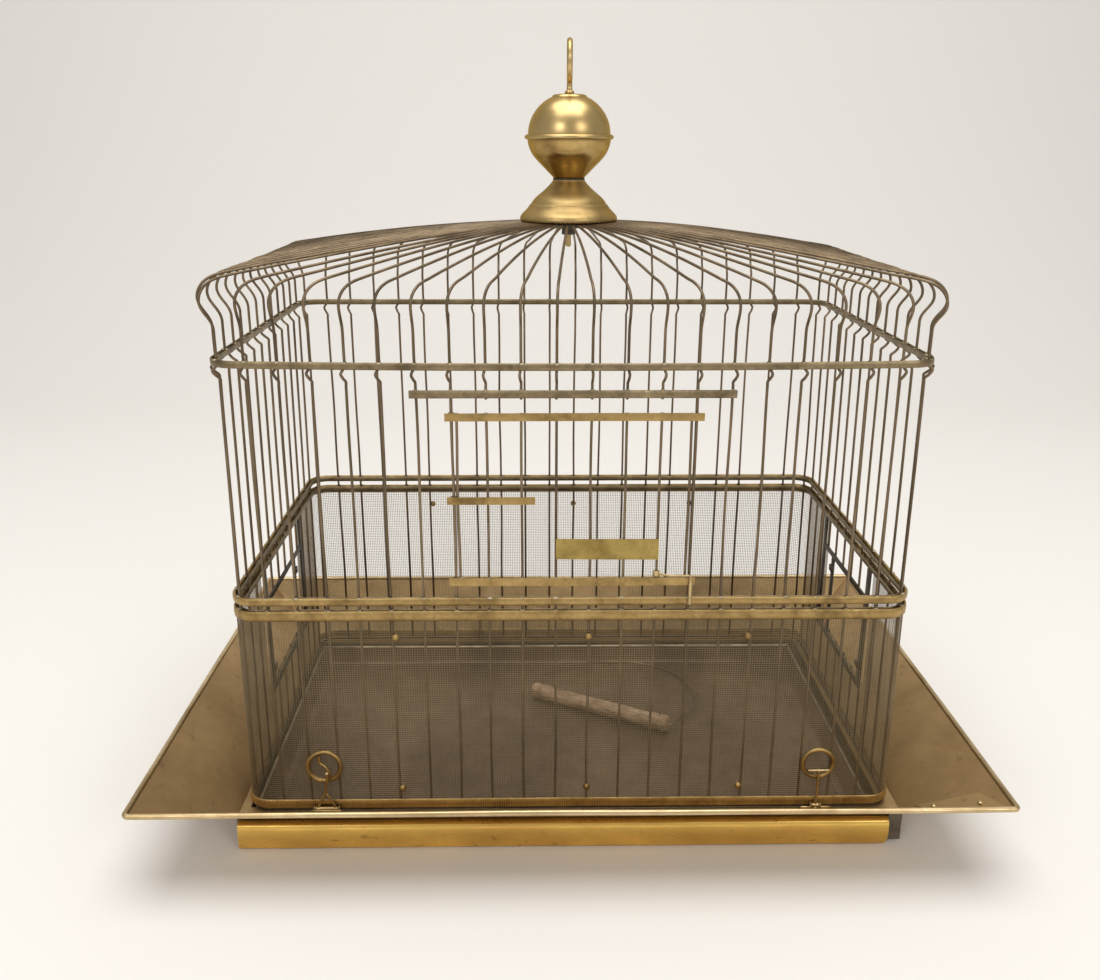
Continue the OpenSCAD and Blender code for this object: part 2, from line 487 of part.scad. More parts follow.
base_ledge();
runner_left();
runner_right();
base_back();
skirt_front();
skirt_back();
skirt_left();
skirt_right();
skirt_rim();
lap_tab();
tab_rivets();
clip_brackets();
toggle_pins();
tray_floor();
tray_walls();
drawer_front();
perch();
bottom_wire();
bottom_band();
mesh_front();
mesh_back();
mesh_left();
mesh_right();
mesh_corners();
mesh_binding();
mesh_binding_inner();
lower_band();
lower_band_inner();
upper_band();
upper_band_inner();
header_strip();
wall_wires_front();
wall_wires_back();
wall_wires_left();
wall_wires_right();
corner_wires();
roof_wires_front();
roof_wires_back();
roof_wires_left();
roof_wires_right();
roof_wires_corner();
hub_disc();
bell();
ball_lower();
ball_upper();
seam_bead();
studs();
feeder_frames();
catch_rings();
door_wires();
door_strips();
door_plate();
door_latch();
hanger_ring();
hanger_nut();
toggle_left();
toggle_right();
bail();
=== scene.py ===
import math
import random

import bpy
import numpy as np
from mathutils import Matrix, Vector


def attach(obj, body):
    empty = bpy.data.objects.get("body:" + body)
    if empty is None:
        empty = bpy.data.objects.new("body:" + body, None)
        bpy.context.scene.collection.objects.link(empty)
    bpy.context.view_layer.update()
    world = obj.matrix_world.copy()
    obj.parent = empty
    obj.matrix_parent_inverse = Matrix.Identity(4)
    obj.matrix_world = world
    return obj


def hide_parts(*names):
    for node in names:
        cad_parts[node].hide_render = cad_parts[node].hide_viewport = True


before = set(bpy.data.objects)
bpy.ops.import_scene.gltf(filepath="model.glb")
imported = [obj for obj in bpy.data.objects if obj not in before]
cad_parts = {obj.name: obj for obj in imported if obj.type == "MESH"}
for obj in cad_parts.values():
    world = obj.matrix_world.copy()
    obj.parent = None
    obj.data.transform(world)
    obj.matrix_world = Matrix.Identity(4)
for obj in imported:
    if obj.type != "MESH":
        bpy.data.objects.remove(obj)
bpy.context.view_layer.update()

random.seed(11)
rng = np.random.default_rng(11)
CLX = (-149.6, 151.2)  # where the two clips stand, mm
MM = 0.001
ZC = 23.0          # the cage's bottom above the table, mm


# ------------------------------------------------------------------ materials
def new_mat(name):
    m = bpy.data.materials.new(name)
    m.use_nodes = True
    nt = m.node_tree
    nt.nodes.clear()
    out = nt.nodes.new("ShaderNodeOutputMaterial")
    bsdf = nt.nodes.new("ShaderNodeBsdfPrincipled")
    nt.links.new(bsdf.outputs["BSDF"], out.inputs["Surface"])
    return m, nt, bsdf


def coords(nt, scale=(1, 1, 1), rot=(0, 0, 0)):
    tc = nt.nodes.new("ShaderNodeTexCoord")
    mp = nt.nodes.new("ShaderNodeMapping")
    mp.inputs["Scale"].default_value = scale
    mp.inputs["Rotation"].default_value = rot
    nt.links.new(tc.outputs["Object"], mp.inputs["Vector"])
    return mp.outputs["Vector"]


def noise(nt, vec, scale, detail=4.0, rough=0.55, dist=0.0):
    n = nt.nodes.new("ShaderNodeTexNoise")
    n.inputs["Scale"].default_value = scale
    n.inputs["Detail"].default_value = detail
    n.inputs["Roughness"].default_value = rough
    n.inputs["Distortion"].default_value = dist
    nt.links.new(vec, n.inputs["Vector"])
    return n.outputs["Fac"]


def ramp(nt, fac, stops):
    r = nt.nodes.new("ShaderNodeValToRGB")
    el = r.color_ramp.elements
    while len(el) < len(stops):
        el.new(0.5)
    for e, (p, c) in zip(el, stops):
        e.position = p
        e.color = (c[0], c[1], c[2], 1) if isinstance(c, (tuple, list)) else (c, c, c, 1)
    nt.links.new(fac, r.inputs["Fac"])
    return r.outputs["Color"]


def mix(nt, a, b, fac, mode="MIX"):
    m = nt.nodes.new("ShaderNodeMix")
    m.data_type = "RGBA"
    m.blend_type = mode
    for sock, val in ((m.inputs[6], a), (m.inputs[7], b)):
        if isinstance(val, (tuple, list)):
            sock.default_value = (*val, 1)
        else:
            nt.links.new(val, sock)
    if isinstance(fac, float):
        m.inputs[0].default_value = fac
    else:
        nt.links.new(fac, m.inputs[0])
    return m.outputs[2]


def bump(nt, bsdf, height, strength, distance):
    b = nt.nodes.new("ShaderNodeBump")
    b.inputs["Strength"].default_value = strength
    b.inputs["Distance"].default_value = distance
    nt.links.new(height, b.inputs["Height"])
    nt.links.new(b.outputs["Normal"], bsdf.inputs["Normal"])


def metal(name, light, mid, dark, r0, r1, scale, metallic=1.0, spots=0.0, bump_s=0.15,
          bump_d=0.0002, stretch=(1, 1, 1), spot_col=None, fine=6.0):
    """Tarnished sheet or wire: two scales of stain, dark pin spots, worn roughness, soft dents."""
    m, nt, b = new_mat(name)
    v = coords(nt, stretch)
    n1 = noise(nt, v, scale, 5.0, 0.6, 0.6)
    n2 = noise(nt, v, scale * fine, 4.0, 0.6)
    c1 = ramp(nt, n1, [(0.30, dark), (0.50, mid), (0.72, light)])
    c2 = ramp(nt, n2, [(0.30, (0.72, 0.70, 0.66)), (0.62, (1.0, 1.0, 1.0))])
    col = mix(nt, c1, c2, 0.55, "MULTIPLY")
    if spots:
        n3 = noise(nt, v, scale * fine * 2.5, 2.0, 0.5)
        f3 = ramp(nt, n3, [(0.66, 0.0), (0.72, spots)])
        col = mix(nt, col, spot_col or tuple(x * 0.35 for x in dark), f3)
    nt.links.new(col, b.inputs["Base Color"])
    rr = ramp(nt, n2, [(0.25, r1), (0.75, r0)])
    nt.links.new(rr, b.inputs["Roughness"])
    b.inputs["Metallic"].default_value = metallic
    bump(nt, b, noise(nt, v, scale * 3.0, 3.0, 0.5), bump_s, bump_d)
    return m


M = {}
M["skirt"] = metal("skirt_brass", (0.52, 0.355, 0.170), (0.43, 0.285, 0.130), (0.32, 0.205, 0.095),
                   0.36, 0.52, 9.0, 0.78, spots=0.25, bump_s=0.22, bump_d=0.0005)
M["rim"] = metal("rim_brass", (0.74, 0.58, 0.34), (0.62, 0.47, 0.26), (0.42, 0.30, 0.15),
                 0.26, 0.42, 22.0, 1.0, bump_s=0.12)
M["drawer"] = metal("drawer_brass", (0.98, 0.68, 0.20), (0.92, 0.60, 0.155), (0.70, 0.42, 0.105),
                    0.22, 0.38, 12.0, 0.92, spots=0.5, bump_s=0.12, bump_d=0.0003, stretch=(0.5, 1, 1))
# darker copy of the skirt brass for the back panel, which faces up into the top light: painted shade
M["skirt_painted_shade"] = metal("skirt_brass_dull_painted_shade", (0.33, 0.215, 0.090), (0.26, 0.168, 0.068), (0.18, 0.115, 0.046),
                       0.42, 0.58, 9.0, 0.6, spots=0.25, bump_s=0.22, bump_d=0.0005)
M["lap"] = metal("lap_brass", (0.66, 0.46, 0.225), (0.56, 0.38, 0.180), (0.42, 0.275, 0.125),
                 0.34, 0.50, 9.0, 0.78, spots=0.25, bump_s=0.22, bump_d=0.0005)
M["ball"] = metal("finial_brass", (0.70, 0.535, 0.265), (0.64, 0.475, 0.220), (0.54, 0.385, 0.165),
                  0.29, 0.37, 26.0, 1.0, spots=0.12, bump_s=0.05, bump_d=0.0001, fine=3.0)
M["bell"] = metal("bell_brass", (0.60, 0.445, 0.205), (0.53, 0.385, 0.170), (0.42, 0.29, 0.12),
                  0.36, 0.46, 26.0, 1.0, spots=0.12, bump_s=0.06, bump_d=0.0001, fine=3.0)
M["ball_low"] = metal("finial_brass_stained", (0.66, 0.48, 0.20), (0.53, 0.36, 0.135), (0.27, 0.165, 0.060),
                      0.17, 0.30, 30.0, 1.0, spots=0.3, bump_s=0.05, bump_d=0.0001, fine=3.0)
M["plate"] = metal("door_plate_brass", (0.50, 0.375, 0.125), (0.43, 0.315, 0.100), (0.28, 0.19, 0.058),
                   0.34, 0.50, 40.0, 0.9, spots=0.4, bump_s=0.2, bump_d=0.0003)
M["bright"] = metal("fitting_brass", (0.74, 0.60, 0.34), (0.60, 0.46, 0.24), (0.38, 0.27, 0.13),
                    0.24, 0.42, 60.0, 1.0, spots=0.3, bump_s=0.15)
M["strip"] = metal("strip_brass", (0.53, 0.365, 0.150), (0.43, 0.29, 0.112), (0.24, 0.157, 0.058),
                   0.32, 0.52, 70.0, 0.9, spots=0.5, bump_s=0.35, bump_d=0.0004)
M["strip_dark"] = metal("strip_tarnished", (0.36, 0.285, 0.165), (0.26, 0.20, 0.115), (0.15, 0.113, 0.063),
                        0.36, 0.55, 70.0, 0.92, bump_s=0.3, bump_d=0.0003)
M["wire"] = metal("cage_wire", (0.30, 0.225, 0.140), (0.205, 0.150, 0.092), (0.115, 0.083, 0.050),
                  0.34, 0.52, 45.0, 0.92, bump_s=0.15, bump_d=0.0001, stretch=(1, 1, 0.25))
M["mesh"] = metal("woven_wire", (0.40, 0.305, 0.175), (0.31, 0.235, 0.132), (0.22, 0.165, 0.092),
                  0.42, 0.60, 14.0, 0.55, bump_s=0.0)
M["solder"] = metal("solder", (0.56, 0.48, 0.34), (0.40, 0.33, 0.22), (0.22, 0.175, 0.11),
                    0.34, 0.55, 160.0, 1.0, bump_s=0.3)
M["zinc"] = metal("tray_zinc", (0.195, 0.134, 0.082), (0.148, 0.101, 0.061), (0.100, 0.068, 0.041),
                  0.34, 0.62, 9.0, 0.45, spots=0.45, bump_s=0.3, bump_d=0.0004, spot_col=(0.07, 0.052, 0.036))
# bright colour of the tray's folded rim: partly wear, partly a painted highlight
M["tray_rim"] = metal("tray_rim_worn_and_painted_highlight", (0.66, 0.57, 0.43), (0.42, 0.34, 0.235), (0.22, 0.17, 0.115),
                      0.30, 0.50, 40.0, 0.85, bump_s=0.2)
M["runner"] = metal("runner_zinc", (0.36, 0.325, 0.265), (0.25, 0.215, 0.165), (0.12, 0.098, 0.072),
                    0.40, 0.62, 18.0, 0.8, spots=0.5, bump_s=0.3, bump_d=0.0004)
# dark iron for the real dark parts, also used as painted shadow on the neck ring and the bottom wire ring
M["dark"] = metal("dark_iron", (0.135, 0.115, 0.085), (0.09, 0.075, 0.055), (0.05, 0.042, 0.031),
                  0.42, 0.62, 60.0, 0.8, bump_s=0.3)


def wood_mat():
    m, nt, b = new_mat("perch_wood")
    v = coords(nt, (1, 1, 1), (0, 0, 0.487))
    st = nt.nodes.new("ShaderNodeMapping")
    st.inputs["Scale"].default_value = (0.12, 1, 1)
    nt.links.new(v, st.inputs["Vector"])
    g = noise(nt, st.outputs["Vector"], 620.0, 5.0, 0.65, 0.4)
    s = noise(nt, v, 90.0, 5.0, 0.6)
    c = ramp(nt, g, [(0.30, (0.17, 0.105, 0.055)), (0.52, (0.42, 0.28, 0.165)), (0.75, (0.58, 0.42, 0.26))])
    c = mix(nt, c, ramp(nt, s, [(0.35, (0.52, 0.48, 0.43)), (0.6, (1, 1, 1))]), 0.8, "MULTIPLY")
    nt.links.new(c, b.inputs["Base Color"])
    b.inputs["Roughness"].default_value = 0.72
    bump(nt, b, g, 0.5, 0.0004)
    return m


M["wood"] = wood_mat()
for key in ("ball", "bell", "ball_low"):
    bsdf = next(n for n in M[key].node_tree.nodes if n.type == "BSDF_PRINCIPLED")
    bsdf.inputs["Specular Tint"].default_value = (0.62, 0.50, 0.32, 1)


def setmat(obj, key):
    obj.data.materials.clear()
    obj.data.materials.append(M[key])


# ------------------------------------------------------------------ mesh tools
class Bag:
    """Gathers vertices (mm, cage frame or row frame) and faces of one piece."""

    def __init__(self):
        self.v, self.f, self.n = [], [], 0

    def add(self, verts, faces):
        self.v.append(np.asarray(verts, float))
        self.f.append(np.asarray(faces, int) + self.n)
        self.n += len(verts)


def make(name, bag, mat, body, replaces=(), smooth=True, lift=0.0):
    v = np.concatenate(bag.v) * MM
    v[:, 2] += lift * MM
    faces = np.concatenate([np.c_[f, np.full(len(f), -1)] if f.shape[1] == 3 else f for f in bag.f])
    quads = faces[:, 3] >= 0
    loops = np.where(quads, 4, 3)
    me = bpy.data.meshes.new(name)
    me.vertices.add(len(v))
    me.vertices.foreach_set("co", v.astype(np.float32).ravel())
    idx = faces.ravel()
    idx = idx[idx >= 0]
    me.loops.add(len(idx))
    me.loops.foreach_set("vertex_index", idx.astype(np.int32))
    me.polygons.add(len(faces))
    start = np.concatenate([[0], np.cumsum(loops)[:-1]])
    me.polygons.foreach_set("loop_start", start.astype(np.int32))
    me.polygons.foreach_set("loop_total", loops.astype(np.int32))
    me.update(calc_edges=True)
    me.validate()
    ob = bpy.data.objects.new(name, me)
    bpy.context.scene.collection.objects.link(ob)
    me.materials.append(M[mat])
    if smooth:
        me.polygons.foreach_set("use_smooth", np.ones(len(faces), bool))
    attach(ob, body)
    if replaces:
        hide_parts(*replaces)
    return ob


def unit(a):
    return a / np.maximum(np.linalg.norm(a, axis=-1, keepdims=True), 1e-12)


def tube(bag, pts, r, n=8, closed=False, caps=True, radii=None):
    """Round wire along a polyline, with a frame carried along it."""
    p = np.asarray(pts, float)
    m = len(p)
    if closed:
        t = unit(np.roll(p, -1, 0) - np.roll(p, 1, 0))
    else:
        t = np.empty_like(p)
        t[1:-1] = unit(p[2:] - p[:-2])
        t[0], t[-1] = unit(p[1] - p[0]), unit(p[-1] - p[-2])
    ref = np.array([0.31, 0.62, 0.72])
    if abs(ref @ t[0]) > 0.9:
        ref = np.array([0.9, -0.3, 0.1])
    a = np.empty_like(p)
    x = ref - (ref @ t[0]) * t[0]
    x = x / np.linalg.norm(x)
    for i in range(m):
        x = x - (x @ t[i]) * t[i]
        x = x / np.linalg.norm(x)
        a[i] = x
    b = np.cross(t, a)
    if closed:  # spread the leftover twist
        x = a[-1] - (a[-1] @ t[0]) * t[0]
        x /= np.linalg.norm(x)
        tw = math.atan2(x @ b[0], x @ a[0])
        ang = -tw * np.arange(m) / m
        a, b = (a * np.cos(ang)[:, None] + b * np.sin(ang)[:, None],
                b * np.cos(ang)[:, None] - a * np.sin(ang)[:, None])
    th = np.arange(n) * 2 * math.pi / n
    rr = np.full(m, r, float) if radii is None else np.asarray(radii, float)
    ring = p[:, None] + rr[:, None, None] * (np.cos(th)[None, :, None] * a[:, None] + np.sin(th)[None, :, None] * b[:, None])
    v = ring.reshape(-1, 3)
    i = np.arange(m if closed else m - 1)[:, None]
    j = np.arange(n)[None]
    k = (j + 1) % n
    i2 = (i + 1) % m
    f = np.stack([i * n + j, i * n + k, i2 * n + k, i2 * n + j], -1).reshape(-1, 4)
    bag.add(v, f)
    if not closed and caps:
        for e, s in ((0, -1), (m - 1, 1)):
            c = p[e] + s * t[e] * rr[e] * 0.45
            tri = [[0, 1 + (j if s > 0 else (j + 1) % n), 1 + ((j + 1) % n if s > 0 else j)] for j in range(n)]
            bag.add(np.vstack([c[None], ring[e]]), tri)


def spline(ctrl, per=6):
    """Catmull-Rom through the control points."""
    c = np.asarray(ctrl, float)
    c = np.vstack([2 * c[0] - c[1], c, 2 * c[-1] - c[-2]])
    out = []
    for i in range(1, len(c) - 2):
        p0, p1, p2, p3 = c[i - 1], c[i], c[i + 1], c[i + 2]
        d1 = math.sqrt(max(np.linalg.norm(p1 - p0), 1e-6))
        d2 = math.sqrt(max(np.linalg.norm(p2 - p1), 1e-6))
        d3 = math.sqrt(max(np.linalg.norm(p3 - p2), 1e-6))
        m1 = d2 * ((p1 - p0) / d1 - (p2 - p0) / (d1 + d2)) + (p2 - p1)
        m2 = d2 * ((p3 - p2) / d3 - (p3 - p1) / (d2 + d3)) + (p2 - p1)
        for t in np.arange(per) / per:
            t2, t3 = t * t, t * t * t
            out.append((2 * t3 - 3 * t2 + 1) * p1 + (t3 - 2 * t2 + t) * m1 + (3 * t2 - 2 * t3) * p2 + (t3 - t2) * m2)
    out.append(c[-2])
    return np.array(out)


def rrect(W, D, R, arc=10, step=12.0):
    """Rounded rectangle, counter-clockwise from the front middle: points and outward normals."""
    pts, nrm = [], []
    corners = [(W - R, -(D - R), -90), (W - R, D - R, 0), (-(W - R), D - R, 90), (-(W - R), -(D - R), 180)]
    for (cx, cy, a0), (nx, ny, _) in zip(corners, corners[1:] + corners[:1]):
        for i in range(arc + 1):
            a = math.radians(a0 + 90 * i / arc)
            pts.append((cx + R * math.cos(a), cy + R * math.sin(a)))
            nrm.append((math.cos(a), math.sin(a)))
        e = np.array(pts[-1])
        a = math.radians(a0 + 90)
        q = np.array((nx + R * math.cos(a), ny + R * math.sin(a)))
        L = np.linalg.norm(q - e)
        k = max(1, int(L / step))
        for i in range(1, k):
            pts.append(tuple(e + (q - e) * i / k))
            nrm.append((math.cos(a), math.sin(a)))
    return np.array(pts), np.array(nrm)


def sweep(bag, path, nrm, prof, wob=None):
    """Closed profile [(out, z)] round a closed path."""
    m, k = len(path), len(prof)
    pr = np.asarray(prof, float)
    o = pr[None, :, 0] + (0 if wob is None else wob[:, None])
    xy = path[:, None] + nrm[:, None] * o[..., None]
    v = np.concatenate([xy, np.broadcast_to(pr[None, :, 1:2], (m, k, 1))], -1).reshape(-1, 3)
    i, j = np.arange(m)[:, None], np.arange(k)[None]
    i2, j2 = (i + 1) % m, (j + 1) % k
    bag.add(v, np.stack([i * k + j, i2 * k + j, i2 * k + j2, i * k + j2], -1).reshape(-1, 4))


def lathe(bag, prof, n=128, centre=(0, 0)):
    """Surface of revolution about a vertical axis, profile [(r, z)] from bottom to top, outside on the right."""
    pr = np.asarray(prof, float)
    th = np.arange(n) * 2 * math.pi / n
    v = np.stack([centre[0] + pr[:, None, 0] * np.cos(th), centre[1] + pr[:, None, 0] * np.sin(th),
                  np.broadcast_to(pr[:, None, 1], (len(pr), n))], -1).reshape(-1, 3)
    i, j = np.arange(len(pr) - 1)[:, None], np.arange(n)[None]
    k = (j + 1) % n
    bag.add(v, np.stack([i * n + j, i * n + k, (i + 1) * n + k, (i + 1) * n + j], -1).reshape(-1, 4))


def ball(bag, c, r, sx=1.0, sy=1.0, sz=1.0, nu=12, nv=8):
    u = np.arange(nu) * 2 * math.pi / nu
    w = (np.arange(1, nv) / nv - 0.5) * math.pi
    v = [(0, 0, -1)] + [(math.cos(a) * math.cos(b), math.cos(a) * math.sin(b), math.sin(a)) for a in w for b in u] + [(0, 0, 1)]
    v = np.array(v) * np.array([sx, sy, sz]) * r + np.array(c)
    f = []
    for j in range(nu):
        k = (j + 1) % nu
        f.append((0, 1 + k, 1 + j, -1))
        last = 1 + (nv - 2) * nu
        f.append((len(v) - 1, last + j, last + k, -1))
        for i in range(nv - 2):
            f.append((1 + i * nu + j, 1 + i * nu + k, 1 + (i + 1) * nu + k, 1 + (i + 1) * nu + j))
    f = np.array(f)
    f3 = f[f[:, 3] < 0][:, :3]
    f4 = f[f[:, 3] >= 0]
    bag.add(v, f4)
    bag.v.append(np.zeros((0, 3)))
    bag.f.append(f3 + bag.n - len(v))


def slab(bag, P, t):
    """Closed thin sheet from a grid of points (nu, nv, 3), thickened against its normal."""
    P = np.asarray(P, float)
    nu, nv = P.shape[:2]
    du = np.gradient(P, axis=0)
    dv = np.gradient(P, axis=1)
    N = unit(np.cross(du, dv))
    Q = P - N * t
    v = np.concatenate([P.reshape(-1, 3), Q.reshape(-1, 3)])
    i, j = np.arange(nu - 1)[:, None], np.arange(nv - 1)[None]
    a, b, c, d = i * nv + j, (i + 1) * nv + j, (i + 1) * nv + j + 1, i * nv + j + 1
    top = np.stack([a, b, c, d], -1).reshape(-1, 4)
    bot = np.stack([d, c, b, a], -1).reshape(-1, 4) + nu * nv
    bag.add(v, np.vstack([top, bot]))
    edge = ([(i, 0) for i in range(nu)] + [(nu - 1, j) for j in range(1, nv)] +
            [(i, nv - 1) for i in range(nu - 2, -1, -1)] + [(0, j) for j in range(nv - 2, 0, -1)])
    ring = np.array([i * nv + j for i, j in edge])
    vv = np.concatenate([P.reshape(-1, 3)[ring], Q.reshape(-1, 3)[ring]])
    m = len(ring)
    k = np.arange(m)
    bag.add(vv, np.stack([k, k + m, (k + 1) % m + m, (k + 1) % m], -1))


def box(bag, a, b, r=0.0):
    """Box from a to b with small chamfers."""
    a, b = np.array(a, float), np.array(b, float)
    c, h = (a + b) / 2, (b - a) / 2
    r = min(r, *(h * 0.9))
    if r <= 0:
        s = np.array([[x, y, z] for z in (-1, 1) for x, y in ((-1, -1), (1, -1), (1, 1), (-1, 1))])
        bag.add(c + s * h, [[3, 2, 1, 0], [4, 5, 6, 7], [0, 1, 5, 4], [1, 2, 6, 5], [2, 3, 7, 6], [3, 0, 4, 7]])
        return
    v, idx = [], {}
    for sx in (-1, 1):
        for sy in (-1, 1):
            for sz in (-1, 1):
                for ax in range(3):
                    s = np.array([sx, sy, sz], float)
                    q = h.copy() - r
                    q[ax] = h[ax]
                    idx[(sx, sy, sz, ax)] = len(v)
                    v.append(c + s * q)
    v = np.array(v)
    f, f3 = [], []
    for ax in range(3):
        o = [i for i in range(3) if i != ax]
        for s in (-1, 1):
            q = []
            for p in ((-1, -1), (1, -1), (1, 1), (-1, 1)):
                k = [0, 0, 0]
                k[ax], k[o[0]], k[o[1]] = s, p[0], p[1]
                q.append(idx[(*k, ax)])
            f.append(q)
    for ax in range(3):  # edges along ax
        o = [i for i in range(3) if i != ax]
        for s0 in (-1, 1):
            for s1 in (-1, 1):
                k0, k1 = [0, 0, 0], [0, 0, 0]
                k0[ax], k1[ax] = -1, 1
                k0[o[0]] = k1[o[0]] = s0
                k0[o[1]] = k1[o[1]] = s1
                f.append([idx[(*k0, o[0])], idx[(*k1, o[0])], idx[(*k1, o[1])], idx[(*k0, o[1])]])
    for sx in (-1, 1):
        for sy in (-1, 1):
            for sz in (-1, 1):
                f3.append([idx[(sx, sy, sz, 0)], idx[(sx, sy, sz, 1)], idx[(sx, sy, sz, 2)]])

    def fix(t):  # outward winding
        p = v[list(t)]
        n = np.cross(p[1] - p[0], p[2] - p[0])
        return list(t) if n @ (p.mean(0) - c) > 0 else list(t)[::-1]
    bag.add(v, [fix(t) for t in f])
    bag.v.append(np.zeros((0, 3)))
    bag.f.append(np.array([fix(t) for t in f3]) + bag.n - len(v))


# ------------------------------------------------------------------ the wires
W0, W1, WD, CR, WR = 197.6, 195.0, 116.9, 12.6, 0.8
UP_Z, KINK_Z, HUB_Z, HUB_R, OFF = 277.8, 265.3, 344.2, 24.0, 1.2
H2 = math.sqrt(0.5)


def side_w(z):
    return W0 + (W1 - W0) * z / KINK_Z


def wire_x(k):
    s = (2 * abs(k) - 1) / 19
    return math.copysign(176.7 * (1.035 * s - 0.035 * s ** 3), k)


def build_wall():
    cy = WD - CR * (1 - H2)
    front = [(wire_x(k), -WD, 0, -1) for k in range(-10, 11) if k]
    right = [(1, -102.3 + 18.6 * j, 1, 0) for j in range(12)]
    wall = front + [(1, -cy, H2, -H2)] + right + [(1, cy, H2, H2)]
    wall += [(-x, WD, 0, 1) for x, *_ in front] + [(-1, cy, -H2, H2)]
    wall += [(-1, -y, -1, 0) for _, y, *_ in right] + [(-1, -cy, -H2, -H2)]
    return wall


WALL = build_wall()
NW = len(WALL)
BULGE = 6.8


def wall_xy(i, z):
    x, y, nx, ny = WALL[i]
    if nx == 0:
        return np.array([x, y])
    return np.array([math.copysign(side_w(z) - (CR * (1 - H2) if abs(nx) < 1 else 0), nx), y])


bend = {i: (rng.uniform(-0.5, 0.5, 3), rng.uniform(0, 6.28, 3), rng.uniform(-0.35, 0.35, 2)) for i in range(NW)}


def wob(i, z, z0, z1):
    """Small hand-made irregularity of a wire, nothing at its fixed ends."""
    a, ph, _ = bend[i]
    t = (z - z0) / (z1 - z0)
    w = math.sin(math.pi * min(max(t, 0), 1)) ** 0.7
    return w * (a[0] * math.sin(2.2 * t + ph[0]) + 0.5 * a[1] * math.sin(5 * t + ph[1]) + 0.3 * a[2] * math.sin(9 * t + ph[2]))


def wall_line(i, z0, z1):
    x, y, nx, ny = WALL[i]
    t = np.array([-ny, nx])
    out = []
    n = max(2, int((z1 - z0) / 9))
    for z in np.linspace(z0, z1, n):
        lo, hi = (2.0, 130.0) if z < 134 else (139.0, 268.0)
        p = wall_xy(i, z) + t * wob(i, z, lo, hi) * (1.0 if z > 134 else 0.8)
        out.append((p[0], p[1], z))
    return out


def roof_line(i):
    """Kink, band, shoulder and roof, as control points."""
    x, y, nx, ny = WALL[i]
    nrm = np.array([nx, ny], float)
    b = wall_xy(i, 268.8)
    rad = b / np.linalg.norm(b)
    j = bend[i][2]
    kd = (3.0 + 1.3 * abs(nx)) * (1 + 0.25 * j[0])
    p = b + nrm * OFF
    P = lambda q, z: (q[0], q[1], z)
    c = [P(b, 268.8), P(b + rad * kd * 0.55, 270.9), P(b + rad * kd, 273.6 + j[1]), P(b + rad * (kd * 0.5), 275.6), P(p, 277.8), P(p, 282.0), P(p, 288.0), P(p, 293.0)]
    sc = (1 + 0.10 * j[0])
    for dz, o in ((18, 0.0), (21, 0.7), (24, 2.3), (27, 4.4), (30, 6.1), (33, BULGE)):
        c.append(P(p + nrm * o * sc, UP_Z + dz + 0.6 * j[1]))
    top = p + nrm * BULGE * sc
    a = math.radians(-90 + 360 / NW * (i - 9.5))
    hub = HUB_R * np.array([math.cos(a), math.sin(a)])
    u = hub - top
    L = np.linalg.norm(u)
    u = u / L
    for s, dz in ((0.4, 36), (1.7, 38.8), (3.8, 41.3), (6.8, 43.4), (10.5, 44.9), (14.5, 45.9)):
        c.append(P(top + u * s, UP_Z + dz + 0.6 * j[1]))
    s0, z0 = 14.5, UP_Z + 45.9
    rise = HUB_Z - z0
    side = np.array([-u[1], u[0]])
    for t in np.linspace(0.08, 1, 14):
        s = s0 + (L - s0) * t
        z = z0 + rise * (t + 0.46 * t * (1 - t)) + 0.5 * j[0] * math.sin(math.pi * t)
        c.append(P(top + u * s + side * 0.8 * j[1] * math.sin(math.pi * t), z))
    c.append(P(hub * 0.93, HUB_Z + 0.15))
    return c


def over_cup(i):
    return abs(WALL[i][2]) == 1 and -46 < WALL[i][1] < 47


def at_door(i):
    return WALL[i][3] == -1 and abs(WALL[i][0]) < 60


def settle(p):
    """The hand-built top isn't square: the front band hangs a little in the middle, and the right shoulders sit low."""
    p = np.array(p, float)
    x, y, z = p[:, 0], p[:, 1], p[:, 2]
    up = np.clip((z - 240) / 30, 0, 1)
    sag = -1.7 * up * np.clip(1 - (x / 196) ** 2, 0, 1) * np.clip((-y - 40) / 70, 0, 1)
    low = -2.2 * np.clip((z - 296) / 14, 0, 1) * np.clip((x - 60) / 110, 0, 1) ** 1.2
    edge = np.clip((np.hypot(x, y) - 40) / 80, 0, 1)
    p[:, 2] = z + sag * edge + low * edge
    return p


def wires(name, rng_i, replaces):
    bag = Bag()
    for i in rng_i:
        roof = roof_line(i)
        if at_door(i):
            up = wall_line(i, 259.2, 266.5) + roof
            tube(bag, spline(wall_line(i, -0.2, 141.2), 2), WR, 8)
        elif over_cup(i):
            up = wall_line(i, 106.2, 266.5) + roof
            tube(bag, spline(wall_line(i, -0.2, 48.8), 2), WR, 8)
        else:
            up = wall_line(i, -0.2, 266.5) + roof
        tube(bag, settle(spline(up, 3)), WR, 8)
    return make(name, bag, "wire", "cage", replaces, lift=ZC)


wires("cage_wires_front", range(0, 20), ["wall_wires_front", "roof_wires_front"])
wires("cage_wires_right", range(21, 33), ["wall_wires_right", "roof_wires_right"])
wires("cage_wires_back", range(34, 54), ["wall_wires_back", "roof_wires_back"])
wires("cage_wires_left", range(55, 67), ["wall_wires_left", "roof_wires_left"])
wires("cage_wires_corner", (20, 33, 54, 67), ["corner_wires", "roof_wires_corner"])


# ------------------------------------------------------------------ the bands
def strip_profile(o0, o1, z0, z1, r=0.35, crown=0.25):
    """Strip section with rounded edges, slightly crowned outside, from inner o0 to outer o1."""
    return [(o0, z0 + r), (o0, z1 - r), (o0 + r, z1), (o1 - r, z1), (o1, z1 - r), (o1 + crown * 0.6, (z0 + z1) / 2),
            (o1, z0 + r), (o1 - r, z0), (o0 + r, z0)]


